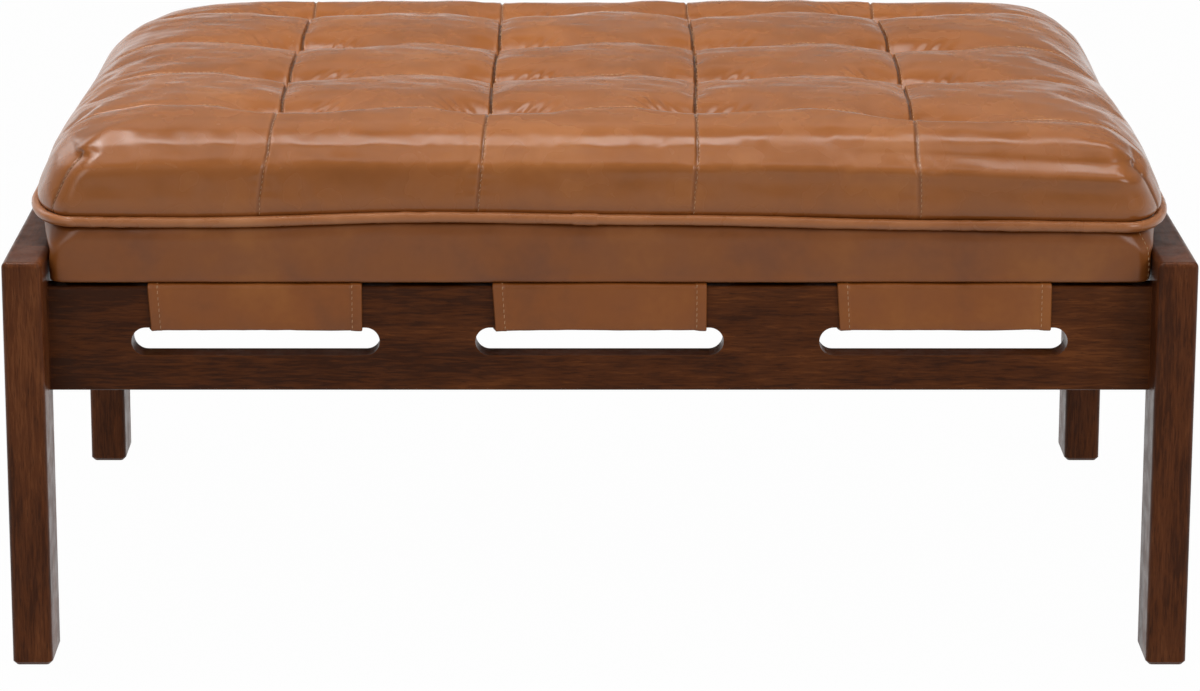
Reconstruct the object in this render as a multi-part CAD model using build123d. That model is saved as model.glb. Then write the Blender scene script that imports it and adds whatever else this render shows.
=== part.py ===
from build123d import *
import math
import os

# Ottoman coffee table with a tufted loose cushion on a strapped hardwood frame.
# X runs along the length, the front faces -Y, and Z = 0 is the floor.

# Overall sizes
table_length = 1000.0
table_depth = 680.0
frame_height = 356.0

# Legs
leg_width = 34.0
leg_depth = 62.0
leg_corner_radius = 6.0
frame_edge_radius = 5.0
foot_chamfer = 3.0

# Glides under the legs
glide_height = 3.0
glide_diameter = 24.0
glide_pin_diameter = 6.0
glide_pin_length = 14.0

# End rails and their tenons
side_rail_height = 120.0
rail_lower_radius = 3.0
tenon_thickness = 10.0
tenon_length = 25.0
tenon_shoulder = 15.0
tenon_outer_wall = 6.0
joint_fit = 0.1

# Long rails and their slots
long_rail_setback = 37.0
long_rail_thickness = 24.0
long_rail_height = 90.5
long_rail_edge_radius = 2.0
slot_end_margin = 70.0
slot_bridge = 81.0
slot_height = 24.3
slot_drop = 35.6
slot_count = 3

# Dowels between the long rails and the legs
dowel_diameter = 8.0
dowel_in_leg = 15.0
dowel_in_rail = 20.0
dowel_spacing = 56.0

# Straps
strap_side_gap = 14.5
strap_thickness = 2.4
strap_tail = 28.0

# Strap clamps inside the rails
clamp_inset = 8.0
clamp_height = 20.0
clamp_thickness = 4.0
clamp_screw_inset = 12.5

# Slats and the cleats that carry them
slat_width = 60.0
slat_thickness = 18.0
slat_edge_radius = 2.5
slat_end_gap = 1.5
cleat_length = 62.0
cleat_depth = 20.0
cleat_height = 18.0
cleat_screw_spacing = 34.0

# Corner brackets and their bolts
bracket_arm = 50.0
bracket_height = 48.0
bracket_thickness = 3.0
bracket_bend_radius = 4.0
bracket_drop = 4.0
bolt_diameter = 6.0
bolt_length = 14.0
bolt_head_diameter = 10.5
bolt_head_height = 3.3
bolt_socket = 4.0
bolt_socket_depth = 2.0
bolt_row_spacing = 26.0
bolt_from_corner = 34.0
washer_diameter = 14.0
washer_thickness = 1.2
insert_diameter = 9.0
insert_length = 12.0

# Wood screws
screw_head_diameter = 8.0
screw_head_height = 3.0
screw_shank_diameter = 4.0
slat_screw_length = 30.0
cleat_screw_length = 34.0
clamp_screw_length = 16.0
screw_fit = 0.15

# Cushion plan, measured at the piping's centreline
piping_end_inset = 16.0
piping_side_inset = 34.5
piping_corner_radius = 55.0
piping_diameter = 9.0
soft_fit = 0.15

# Cushion base: what it keeps from the straps, and its foam
seat_clearance = 0.3
foam_end_inset = 38.0
foam_side_inset = 25.5
foam_corner_radius = 30.0
foam_rise = 45.0
foam_fit = 0.3
bottom_cover_thickness = 1.8

# Lower border: its height, the gap to the end rails, and how it draws in below and opens above their tops
border_height = 56.8
border_end_gap = 2.0
border_over_rail = 1.2
border_base_draw = 5.0
border_low_draw = 1.0
border_open_share = 0.71
border_top_length_inset = 8.0
border_depth_insets = (5.5, 1.5, 0.0, 1.0, 5.0)
border_corner_radii = (36.0, 42.0, 46.0, 50.0, 52.0)

# Upper cover walls: heights above the piping, and how far each level stands in from the piping
wall_level_heights = (0.0, 18.0, 36.0, 50.0, 62.0, 86.0)
wall_insets = (-1.0, -0.5, 4.0, 13.0, 26.0, 58.0)
wall_corner_radii = (56.0, 56.0, 54.0, 51.0, 47.0, 41.0)
wall_swells = (0.4, 2.6, 3.4, 3.4, 3.0, 2.4)
corner_pinches = (0.5, 3.0, 4.5, 5.0, 5.0, 4.0)

# Tufted top; an outer panel's size is a share of an inner one's
panel_count = 5
outer_panel_length_share = 1.1333
outer_panel_depth_share = 0.768
tuft_rise = 62.0
seam_rise = 11.0
panel_rise = 19.0
edge_fall = 24.0
edge_overrun = 12.0
fall_power = 2.5
puff_power = 2.6
puff_stations_share = (0.0, 0.1, 0.28, 0.5, 0.72, 0.9, 1.0)

# Tuft ties and discs
tie_diameter = 1.6
tie_hole_diameter = 2.6
tie_disc_diameter = 22.0
tie_disc_thickness = 1.5
tie_end_gap = 0.2

# Zip in the back of the lower border
zip_length = 560.0
zip_end_room = 12.0
zip_recess_height = 22.0
zip_recess_depth = 8.0
zip_rise = 23.0
zip_tape_thickness = 1.6
zip_fit = 0.3
chain_height = 5.0
chain_thickness = 2.2
chain_stop_length = 5.0
chain_stop_rise = 1.2
slider_length = 12.0
slider_flange = 1.5
slider_plate = 1.2
bridge_length = 5.0
bridge_width = 2.0
bridge_reach = 2.9
bridge_bore = 2.0
pull_pin_diameter = 1.4
pull_length = 24.0
pull_width = 7.0
pull_thickness = 1.2
pull_ear_thickness = 1.4
pull_slot_length = 5.0
slider_end_gap = 4.0

# Extra length of cutting tools beyond the face that they cut
cut_overrun = 2.0

# Sizes worked out from those above
leg_centre_x = table_length / 2 - leg_width / 2
leg_centre_y = table_depth / 2 - leg_depth / 2
leg_inner_x = table_length / 2 - leg_width
leg_inner_y = table_depth / 2 - leg_depth
rail_bottom = frame_height - side_rail_height
rail_top = rail_bottom + long_rail_height
rail_front = -(table_depth / 2 - long_rail_setback)
rail_inner = rail_front + long_rail_thickness
slot_top = rail_top - slot_drop
slot_centre_z = slot_top - slot_height / 2
slots_reach = 2 * (leg_inner_x - slot_end_margin) - (slot_count - 1) * slot_bridge
slot_length = slots_reach / slot_count
slot_pitch = slot_length + slot_bridge
strap_width = slot_length - 2 * strap_side_gap
seat_level = rail_top + strap_thickness
cushion_bottom = seat_level + seat_clearance
piping_height = cushion_bottom + border_height
piping_half_length = table_length / 2 - piping_end_inset
piping_half_depth = table_depth / 2 - piping_side_inset
panel_length = 2 * piping_half_length / (panel_count - 2 + 2 * outer_panel_length_share)
panel_depth = 2 * piping_half_depth / (panel_count - 2 + 2 * outer_panel_depth_share)
tuft_height = piping_height + tuft_rise
slat_bottom = seat_level - slat_thickness
slat_inner_x = slot_pitch / 2
slat_outer_x = (slot_pitch + strap_width / 2 + leg_inner_x) / 2
bracket_top = rail_bottom + bracket_drop + bracket_height
bracket_centre_z = bracket_top - bracket_height / 2
foam_bottom = cushion_bottom + bottom_cover_thickness + foam_fit / 2
foam_top = piping_height + foam_rise
foam_half_length = piping_half_length - foam_end_inset
foam_half_depth = piping_half_depth - foam_side_inset
zip_centre_z = cushion_bottom + zip_rise
border_back_y = piping_half_depth - min(border_depth_insets)
zip_floor_y = border_back_y - zip_recess_depth
tape_outer_y = zip_floor_y + zip_tape_thickness
chain_outer_y = tape_outer_y + chain_thickness
slider_outer_y = chain_outer_y + zip_fit + slider_plate
pull_axis_y = slider_outer_y + bridge_reach / 2
slider_rest_x = zip_length / 2 - chain_stop_length - slider_end_gap - slider_length / 2

toward_front = Vector(0, -1, 0)
toward_right = Vector(1, 0, 0)
upward = Vector(0, 0, 1)
downward = Vector(0, 0, -1)

clamp_half_length = strap_width / 2 - clamp_inset

strap_places = {"left_strap": -slot_pitch, "centre_strap": 0.0, "right_strap": slot_pitch}
slat_places = {
    "left_outer_slat": -slat_outer_x,
    "left_inner_slat": -slat_inner_x,
    "right_inner_slat": slat_inner_x,
    "right_outer_slat": slat_outer_x,
}


def save(name, shape):
    """Writes one node; a list is a group of separate solids."""
    if isinstance(shape, list):
        shape = Compound(children=shape)
    shape.label = name
    export_step(shape, "parts/" + name + ".step")


def block(x0, x1, y0, y1, z0, z1):
    size = (x1 - x0, y1 - y0, z1 - z0)
    return Pos((x0 + x1) / 2, (y0 + y1) / 2, (z0 + z1) / 2) * Box(*size)


def bar_along(place, direction, diameter, length):
    """A round bar that starts at a place and runs along a direction."""
    return extrude(Plane(origin=place, z_dir=direction) * Circle(diameter / 2), length)


def to_back(shape):
    return mirror(shape, about=Plane.XZ)


def to_left(shape):
    return mirror(shape, about=Plane.YZ)


# Legs

def leg_section(rounded_back):
    outline = Rectangle(leg_width, leg_depth)
    rows = outline.vertices().group_by(Axis.Y)
    corners = rows[0] + rows[-1] if rounded_back else rows[0]
    return Pos(leg_centre_x, -leg_centre_y) * fillet(corners, leg_corner_radius)


def tenon(fit, length):
    """The end rail's tenon at its front end, with routed round ends."""
    centre_x = table_length / 2 - tenon_outer_wall - tenon_thickness / 2
    centre_z = (rail_bottom + frame_height) / 2
    height = side_rail_height - 2 * tenon_shoulder + 2 * fit
    plane = Plane(origin=(centre_x, -leg_inner_y, centre_z), x_dir=(0, 0, 1), z_dir=(0, -1, 0))
    return extrude(plane * SlotOverall(height, tenon_thickness + 2 * fit), length)


def dowel_places():
    middle = (rail_bottom + rail_top) / 2
    return [middle - dowel_spacing / 2, middle + dowel_spacing / 2]


def dowel(z, fit):
    start = (leg_inner_x - dowel_in_rail - fit, (rail_front + rail_inner) / 2, z)
    length = dowel_in_rail + dowel_in_leg + 2 * fit
    return bar_along(start, toward_right, dowel_diameter + 2 * fit, length)


def glide():
    centre = (leg_centre_x, -leg_centre_y, 0)
    pad = bar_along(centre, upward, glide_diameter, glide_height)
    pad = chamfer(pad.edges().group_by(Axis.Z)[0], glide_height / 4)
    return pad + bar_along(centre, upward, glide_pin_diameter, glide_height + glide_pin_length)


def glide_hole():
    start = (leg_centre_x, -leg_centre_y, glide_height)
    return bar_along(start, upward, glide_pin_diameter + 2 * joint_fit, glide_pin_length + joint_fit)


def make_leg():
    """The front right leg."""
    lower = Pos(0, 0, glide_height) * extrude(leg_section(True), rail_bottom - glide_height)
    upper = Pos(0, 0, rail_bottom) * extrude(leg_section(False), side_rail_height)
    leg = lower + upper
    top_edges = leg.edges().group_by(Axis.Z)[-1].sort_by(Axis.Y)[:-1]
    leg = fillet(top_edges, frame_edge_radius)
    leg = chamfer(leg.edges().group_by(Axis.Z)[0], foot_chamfer)
    leg -= tenon(joint_fit, tenon_length + joint_fit)
    for z in dowel_places():
        leg -= dowel(z, joint_fit)
    return leg - glide_hole()


# Rails

def bolt_heights():
    return [bracket_centre_z - bolt_row_spacing / 2, bracket_centre_z + bolt_row_spacing / 2]


def bolt_places():
    """Where the four bolts of the front right bracket leave its inner face, and which way they go."""
    rail_x = leg_inner_x - bolt_from_corner
    side_y = rail_inner + bolt_from_corner
    places = []
    for z in bolt_heights():
        places.append((Vector(rail_x, rail_inner + bracket_thickness, z), toward_front))
        places.append((Vector(leg_inner_x - bracket_thickness, side_y, z), toward_right))
    return places


def insert_blank(place, way, fit):
    """A threaded insert's outside, sunk into the wood behind the bracket."""
    start = place + way * bracket_thickness
    return bar_along(start, way, insert_diameter + 2 * fit, insert_length + fit)


def screw(place, way, length, fit):
    """A countersunk wood screw with its head flush at the place."""
    start = Vector(*place)
    plane = Plane(origin=start, z_dir=way)
    head_radius = screw_head_diameter / 2 + fit
    shank_radius = screw_shank_diameter / 2 + fit
    rings = [plane * Circle(head_radius), plane.offset(screw_head_height) * Circle(shank_radius)]
    return loft(rings, ruled=True) + extrude(plane * Circle(shank_radius), length + fit)


def cleat_screw_places(x):
    """The two screws of one front cleat, which start at its inner face."""
    z = slat_bottom - cleat_height / 2
    face = rail_inner + cleat_depth
    return [(x + side * cleat_screw_spacing / 2, face, z) for side in (-1, 1)]


def clamp_screw_places(x):
    """The three screws of one front clamp bar."""
    z = clamp_centre_z()
    face = rail_inner + strap_thickness + clamp_thickness
    spacing = clamp_half_length - clamp_screw_inset
    return [(x + step * spacing, face, z) for step in (-1, 0, 1)]


def clamp_centre_z():
    return slot_top + strap_tail - clamp_height / 2


def front_screws(fit):
    """Every screw that enters the front rail, as cutters or as screws."""
    cleat_screws = [
        screw(place, toward_front, cleat_screw_length, fit)
        for x in slat_places.values()
        for place in cleat_screw_places(x)
    ]
    clamp_screws = [
        screw(place, toward_front, clamp_screw_length, fit)
        for x in strap_places.values()
        for place in clamp_screw_places(x)
    ]
    return cleat_screws, clamp_screws


def make_front_rail():
    rail = block(-leg_inner_x, leg_inner_x, rail_front, rail_inner, rail_bottom, rail_top)
    rail = fillet(rail.edges().filter_by(Axis.X), long_rail_edge_radius)
    for x in strap_places.values():
        plane = Plane(origin=(x, rail_front - cut_overrun, slot_centre_z), x_dir=(1, 0, 0), z_dir=(0, 1, 0))
        rail -= extrude(plane * SlotOverall(slot_length, slot_height), long_rail_thickness + 2 * cut_overrun)
    for z in dowel_places():
        rail -= dowel(z, joint_fit)
        rail -= to_left(dowel(z, joint_fit))
    for place, way in bolt_places():
        if way.Y:
            rail -= insert_blank(place, way, joint_fit)
            rail -= to_left(insert_blank(place, way, joint_fit))
    cleat_cuts, clamp_cuts = front_screws(screw_fit)
    for cut in cleat_cuts + clamp_cuts:
        rail -= cut
    return rail


def make_side_rail():
    """The right end rail, flush with the legs."""
    outer = table_length / 2
    rail = block(leg_inner_x, outer, -leg_inner_y, leg_inner_y, rail_bottom, frame_height)
    long_edges = rail.edges().filter_by(Axis.Y).group_by(Axis.Z)
    rail = fillet(long_edges[-1], frame_edge_radius)
    rail = fillet(rail.edges().filter_by(Axis.Y).group_by(Axis.Z)[0], rail_lower_radius)
    front_tenon = tenon(0, tenon_length)
    rail += front_tenon
    rail += to_back(front_tenon)
    for place, way in bolt_places():
        if way.X:
            rail -= insert_blank(place, way, joint_fit)
            rail -= to_back(insert_blank(place, way, joint_fit))
    return rail


# Straps and clamps

def strap_side():
    """The strap's section round the front rail, from the middle of the table to its clamped tail."""
    t = strap_thickness
    tail_top = slot_top + strap_tail
    outer = Polyline(
        (0, seat_level),
        (rail_front - t, seat_level),
        (rail_front - t, slot_top - t),
        (rail_inner + t, slot_top - t),
        (rail_inner + t, tail_top),
        (rail_inner, tail_top),
        (rail_inner, slot_top),
        (rail_front, slot_top),
        (rail_front, rail_top),
        (0, rail_top),
        close=True,
    )
    face = make_face(outer)
    bends = [
        (rail_front, rail_top, long_rail_edge_radius),
        (rail_front - t, seat_level, long_rail_edge_radius + t),
        (rail_front - t, slot_top - t, t),
        (rail_inner + t, slot_top - t, t),
    ]
    for y, z, radius in bends:
        corner = face.vertices().sort_by_distance((y, z, 0))[0]
        face = fillet(corner, radius)
    return face


def make_strap(x):
    front = Plane(origin=(x - strap_width / 2, 0, 0), x_dir=(0, 1, 0), z_dir=(1, 0, 0)) * strap_side()
    half = extrude(front, strap_width)
    strap = half + to_back(half)
    for place in clamp_screw_places(x):
        hole = screw(place, toward_front, clamp_screw_length, screw_fit)
        strap -= hole
        strap -= to_back(hole)
    return strap


def make_clamp(x):
    half = clamp_half_length
    inner = rail_inner + strap_thickness
    z = clamp_centre_z()
    bar = block(x - half, x + half, inner, inner + clamp_thickness, z - clamp_height / 2, z + clamp_height / 2)
    bar = chamfer(bar.edges().group_by(Axis.Y)[-1], clamp_thickness / 4)
    for place in clamp_screw_places(x):
        bar -= screw(place, toward_front, clamp_screw_length, screw_fit)
    return bar


# Slats and cleats

def slat_screw_places(x):
    y = rail_inner + cleat_depth / 2
    return [(x, y, seat_level), (x, -y, seat_level)]


def make_slat(x):
    end = -rail_inner - slat_end_gap
    slat = block(x - slat_width / 2, x + slat_width / 2, -end, end, slat_bottom, seat_level)
    slat = fillet(slat.edges().filter_by(Axis.Y), slat_edge_radius)
    for place in slat_screw_places(x):
        slat -= screw(place, downward, slat_screw_length, screw_fit)
    return slat


def make_cleat(x):
    """One cleat on the front rail."""
    half = cleat_length / 2
    low = slat_bottom - cleat_height
    cleat = block(x - half, x + half, rail_inner, rail_inner + cleat_depth, low, slat_bottom)
    lower_edge = cleat.edges().filter_by(Axis.X).group_by(Axis.Z)[0].sort_by(Axis.Y)[-1]
    cleat = chamfer(lower_edge, cleat_height / 4)
    for place in cleat_screw_places(x):
        cleat -= screw(place, toward_front, cleat_screw_length, screw_fit)
    return cleat - screw(slat_screw_places(x)[0], downward, slat_screw_length, screw_fit)


# Corner brackets and bolts

def make_bracket():
    """The front right bracket, on the inner faces of the front rail and the right end rail."""
    low = bracket_top - bracket_height
    x1 = leg_inner_x
    y1 = rail_inner
    t = bracket_thickness
    arm_a = block(x1 - bracket_arm, x1, y1, y1 + t, low, bracket_top)
    arm_b = block(x1 - t, x1, y1, y1 + bracket_arm, low, bracket_top)
    angle = arm_a + arm_b
    uprights = angle.edges().filter_by(Axis.Z)
    bend = uprights.sort_by_distance((x1 - t, y1 + t, bracket_centre_z))[0]
    angle = fillet(bend, bracket_bend_radius)
    for place, way in bolt_places():
        start = place - way * cut_overrun
        angle -= bar_along(start, way, bolt_diameter + 4 * joint_fit, t + 2 * cut_overrun)
    return angle


def make_bolt(place, way):
    under_head = place - way * washer_thickness
    head = bar_along(under_head, way * -1, bolt_head_diameter, bolt_head_height)
    head = chamfer(head.edges().sort_by_distance(under_head)[-1], bolt_head_height / 2)
    bolt = head + bar_along(under_head, way, bolt_diameter, bolt_length)
    socket_start = under_head - way * (bolt_head_height - bolt_socket_depth)
    key = Plane(origin=socket_start, z_dir=way * -1) * RegularPolygon(bolt_socket / 2, 6, major_radius=False)
    return bolt - extrude(key, bolt_socket_depth + cut_overrun)


def make_washer(place, way):
    ring = Circle(washer_diameter / 2) - Circle(bolt_diameter / 2 + joint_fit)
    return extrude(Plane(origin=place, z_dir=way * -1) * ring, washer_thickness)


def make_insert(place, way):
    bore = bar_along(place, way, bolt_diameter + 2 * joint_fit, bracket_thickness + insert_length + cut_overrun)
    return insert_blank(place, way, 0) - bore


def four_corners(shape):
    """A front right piece and its three mirrored mates."""
    back = to_back(shape)
    return {"front_right": shape, "back_right": back, "front_left": to_left(shape), "back_left": to_left(back)}


def on_all_corners(maker):
    group = []
    for place, way in bolt_places():
        group += list(four_corners(maker(place, way)).values())
    return group


# Cushion outlines

def seam_shares(pitch, half_size):
    """The seam places along one side, as shares of the side's half size."""
    first = -(panel_count - 2) * pitch / 2
    return [(first + i * pitch) / half_size for i in range(panel_count - 1)]


def puffed_outline(half_x, half_y, radius, swell, pinch, z):
    """A closed outline with one shallow arc for each panel and a pinched seam at each corner."""
    seams_x = [share * half_x for share in seam_shares(panel_length, piping_half_length)]
    seams_y = [share * half_y for share in seam_shares(panel_depth, piping_half_depth)]
    sides = [
        ((0, -half_y), (1, 0), half_x, seams_x),
        ((half_x, 0), (0, 1), half_y, seams_y),
        ((0, half_y), (-1, 0), half_x, seams_x),
        ((-half_x, 0), (0, -1), half_y, seams_y),
    ]
    edges = []
    for (cx, cy), (dx, dy), reach, seams in sides:
        stops = [-reach + radius] + seams + [reach - radius]
        points = [Vector(cx + dx * s, cy + dy * s, z) for s in stops]
        outward = Vector(dy, -dx, 0)
        for start, end in zip(points, points[1:]):
            edges.append(Edge.make_three_point_arc(start, (start + end) / 2 + outward * swell, end))
        turn_centre = points[-1] - outward * radius
        along = Vector(dx, dy, 0)
        dart = turn_centre + (outward + along).normalized() * (radius - pinch)
        finish = turn_centre + along * radius
        near = turn_centre + (outward * math.cos(math.pi / 8) + along * math.sin(math.pi / 8)) * radius
        far = turn_centre + (outward * math.sin(math.pi / 8) + along * math.cos(math.pi / 8)) * radius
        edges.append(Edge.make_three_point_arc(points[-1], near, dart))
        edges.append(Edge.make_three_point_arc(dart, far, finish))
    return Wire(edges)


def cover_walls():
    """The upper cover's drawn-in, scalloped sides as one lofted body."""
    levels = zip(wall_level_heights, wall_insets, wall_corner_radii, wall_swells, corner_pinches)
    outlines = [
        puffed_outline(
            piping_half_length - inset,
            piping_half_depth - inset,
            radius,
            swell,
            pinch,
            piping_height + height,
        )
        for height, inset, radius, swell, pinch in levels
    ]
    return Solid.make_loft(outlines)


# Tufted top

def puff(share):
    """How far a panel has risen between its two seams, from zero to one."""
    return 1 - abs(2 * share - 1) ** puff_power


def fall(share):
    """How far an outer panel has dropped on its way to the edge."""
    return edge_fall * share ** fall_power


def top_section(x, rise, drop):
    """One section across the depth: a row of arcs, one for each panel, over straight sides."""
    seam_ys = [share * piping_half_depth for share in seam_shares(panel_depth, piping_half_depth)]
    reach = piping_half_depth + edge_overrun
    seam_z = tuft_height + seam_rise * rise - drop
    crest_z = tuft_height + seam_rise + (panel_rise - seam_rise) * rise - drop
    outer_crest = crest_z + drop - max(drop, fall(0.5))
    edge_z = seam_z + drop - max(drop, edge_fall)
    stops = [(-reach, edge_z)] + [(y, seam_z) for y in seam_ys] + [(reach, edge_z)]
    crests = [outer_crest] + [crest_z] * (panel_count - 2) + [outer_crest]
    edges = []
    for (y0, z0), (y1, z1), crest in zip(stops, stops[1:], crests):
        edges.append(Edge.make_three_point_arc(Vector(x, y0, z0), Vector(x, (y0 + y1) / 2, crest), Vector(x, y1, z1)))
    base_z = piping_height - cut_overrun
    front_low = Vector(x, -reach, base_z)
    back_low = Vector(x, reach, base_z)
    edges.append(Edge.make_line(Vector(x, reach, edge_z), back_low))
    edges.append(Edge.make_line(back_low, front_low))
    edges.append(Edge.make_line(front_low, Vector(x, -reach, edge_z)))
    return Wire(edges)


def top_column(x0, x1, outer):
    """One column of panels between two seams; an outer column falls towards its far end."""
    sections = []
    for share in puff_stations_share:
        drop = fall(share) if outer else 0
        sections.append(top_section(x0 + (x1 - x0) * share, puff(share), drop))
    return Solid.make_loft(sections)


def tufted_top():
    seam_xs = [share * piping_half_length for share in seam_shares(panel_length, piping_half_length)]
    right = top_column(seam_xs[-1], piping_half_length + edge_overrun, True)
    inner = [top_column(x0, x1, False) for x0, x1 in zip(seam_xs, seam_xs[1:])]
    columns = inner + [right, to_left(right)]
    return columns[0].fuse(*columns[1:])


def foam_block(fit, low, high):
    outline = RectangleRounded(2 * (foam_half_length + fit), 2 * (foam_half_depth + fit), foam_corner_radius + fit)
    return Pos(0, 0, low) * extrude(outline, high - low)


def piping_ring(diameter):
    """A round tube along the plan outline, which turns each corner in a quarter circle."""
    outline = RectangleRounded(2 * piping_half_length, 2 * piping_half_depth, piping_corner_radius)
    path = (Pos(0, 0, piping_height) * outline).wire()
    start = Plane(origin=(path @ 0), z_dir=(path % 0))
    return sweep(start * Circle(diameter / 2), path)


def make_top_cover():
    cover = tufted_top() & cover_walls()
    cover -= foam_block(foam_fit, piping_height - cut_overrun, foam_top + foam_fit)
    return cover - piping_ring(piping_diameter + 2 * soft_fit)


def border_levels():
    """The border's height and half length at each level, from its base up to the piping."""
    neck_z = frame_height + border_over_rail
    neck_half = leg_inner_x - border_end_gap
    top_half = piping_half_length - border_top_length_inset
    return [
        (cushion_bottom, neck_half - border_base_draw),
        ((cushion_bottom + neck_z) / 2, neck_half - border_low_draw),
        (neck_z, neck_half),
        ((neck_z + piping_height) / 2, neck_half + (top_half - neck_half) * border_open_share),
        (piping_height, top_half),
    ]


def make_lower_border():
    wires = []
    for (z, half_length), inset, radius in zip(border_levels(), border_depth_insets, border_corner_radii):
        outline = RectangleRounded(2 * half_length, 2 * (piping_half_depth - inset), radius)
        wires.append((Pos(0, 0, z) * outline).wire())
    band = Solid.make_loft(wires)
    band -= foam_block(foam_fit, cushion_bottom - cut_overrun, piping_height + cut_overrun)
    half = zip_length / 2 + zip_end_room + zip_fit
    low = zip_centre_z - zip_recess_height / 2
    high = zip_centre_z + zip_recess_height / 2
    recess = block(-half, half, zip_floor_y, border_back_y + zip_recess_depth, low, high)
    return band - recess


# Tufts

def tuft_places():
    seams_x = [share * piping_half_length for share in seam_shares(panel_length, piping_half_length)]
    seams_y = [share * piping_half_depth for share in seam_shares(panel_depth, piping_half_depth)]
    return [(x, y) for x in seams_x for y in seams_y]


def make_foam():
    foam = foam_block(0, foam_bottom, foam_top)
    for x, y in tuft_places():
        start = (x, y, foam_bottom)
        hole = bar_along(start, upward, tie_hole_diameter, foam_top - foam_bottom)
        seat = bar_along(start, upward, tie_disc_diameter + foam_fit, tie_disc_thickness + foam_fit)
        foam -= hole + seat
    return foam


def tuft_pieces():
    discs = []
    ties = []
    for x, y in tuft_places():
        disc_bottom = foam_bottom
        disc_top = disc_bottom + tie_disc_thickness
        discs.append(bar_along((x, y, disc_bottom), upward, tie_disc_diameter, tie_disc_thickness))
        length = foam_top + foam_fit - tie_end_gap - disc_top
        ties.append(bar_along((x, y, disc_top), upward, tie_diameter, length))
    return discs, ties


# Zip

def make_zip_tape():
    half = zip_length / 2 + zip_end_room
    reach = zip_recess_height / 2 - zip_fit
    return block(-half, half, zip_floor_y, tape_outer_y, zip_centre_z - reach, zip_centre_z + reach)


def make_zip_chain():
    half = zip_length / 2
    reach = chain_height / 2
    chain = block(-half, half, tape_outer_y, chain_outer_y, zip_centre_z - reach, zip_centre_z + reach)
    chain = chamfer(chain.edges().filter_by(Axis.X).group_by(Axis.Y)[-1], chain_thickness / 3)
    stop_reach = reach + chain_stop_rise
    for x0 in (-half, half - chain_stop_length):
        x1 = x0 + chain_stop_length
        low = zip_centre_z - stop_reach
        high = zip_centre_z + stop_reach
        chain += block(x0, x1, tape_outer_y, chain_outer_y + chain_stop_rise, low, high)
    return chain


def make_zip_slider():
    """A plate over the chain with a flange each side of it, and the bridge that holds the pull."""
    x0 = slider_rest_x - slider_length / 2
    x1 = slider_rest_x + slider_length / 2
    inner = chain_height / 2 + zip_fit
    reach = inner + slider_flange
    body = block(x0, x1, tape_outer_y + zip_fit, slider_outer_y, zip_centre_z - reach, zip_centre_z + reach)
    corners = body.edges().filter_by(Axis.Y)
    body = fillet(corners, slider_flange)
    chain_space = block(
        x0 - cut_overrun,
        x1 + cut_overrun,
        tape_outer_y,
        chain_outer_y + zip_fit,
        zip_centre_z - inner,
        zip_centre_z + inner,
    )
    body -= chain_space
    bridge = block(
        slider_rest_x - bridge_length / 2,
        slider_rest_x + bridge_length / 2,
        slider_outer_y - slider_plate / 2,
        slider_outer_y + bridge_reach,
        zip_centre_z - bridge_width / 2,
        zip_centre_z + bridge_width / 2,
    )
    bridge = fillet(bridge.edges().filter_by(Axis.Z).group_by(Axis.Y)[-1], bridge_reach / 3)
    bore_start = (slider_rest_x, pull_axis_y, zip_centre_z - bridge_width)
    return body + bridge - bar_along(bore_start, upward, bridge_bore, 2 * bridge_width)


def make_zip_pull():
    """A slotted tab whose pin passes through the slider's bridge."""
    half = pull_width / 2
    tab = block(
        slider_rest_x - pull_length,
        slider_rest_x,
        pull_axis_y - pull_thickness / 2,
        pull_axis_y + pull_thickness / 2,
        zip_centre_z - half,
        zip_centre_z + half,
    )
    tab = fillet(tab.edges().filter_by(Axis.Y).group_by(Axis.X)[0], half / 2)
    slot_half = half - pull_ear_thickness
    opening = block(
        slider_rest_x - pull_slot_length,
        slider_rest_x + pull_slot_length,
        pull_axis_y - pull_thickness,
        pull_axis_y + pull_thickness,
        zip_centre_z - slot_half,
        zip_centre_z + slot_half,
    )
    tab -= opening
    pin_start = (slider_rest_x, pull_axis_y, zip_centre_z - half)
    return tab + bar_along(pin_start, upward, pull_pin_diameter, pull_width)


# Building every node

def build_frame():
    for corner, shape in four_corners(make_leg()).items():
        save(corner + "_leg", shape)
    for corner, shape in four_corners(glide()).items():
        save(corner + "_glide", shape)
    for corner, shape in four_corners(make_bracket()).items():
        save(corner + "_bracket", shape)
    side_rail = make_side_rail()
    save("right_side_rail", side_rail)
    save("left_side_rail", to_left(side_rail))
    front_rail = make_front_rail()
    save("front_rail", front_rail)
    save("back_rail", to_back(front_rail))
    dowels = [dowel(z, 0) for z in dowel_places()]
    save("rail_dowels", [d for one in dowels for d in four_corners(one).values()])


def build_seat():
    for name, x in strap_places.items():
        save(name, make_strap(x))
        clamp = make_clamp(x)
        side = name.replace("_strap", "")
        save("front_" + side + "_strap_clamp", clamp)
        save("back_" + side + "_strap_clamp", to_back(clamp))
    for name, x in slat_places.items():
        save(name, make_slat(x))
        cleat = make_cleat(x)
        side = name.replace("_slat", "")
        save("front_" + side + "_cleat", cleat)
        save("back_" + side + "_cleat", to_back(cleat))


def build_fasteners():
    save("bracket_bolts", on_all_corners(make_bolt))
    save("bracket_washers", on_all_corners(make_washer))
    save("bracket_inserts", on_all_corners(make_insert))
    cleat_screws, clamp_screws = front_screws(0)
    save("cleat_screws", cleat_screws + [to_back(one) for one in cleat_screws])
    save("clamp_screws", clamp_screws + [to_back(one) for one in clamp_screws])
    save("slat_screws", [
        screw(place, downward, slat_screw_length, 0)
        for x in slat_places.values()
        for place in slat_screw_places(x)
    ])


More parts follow.
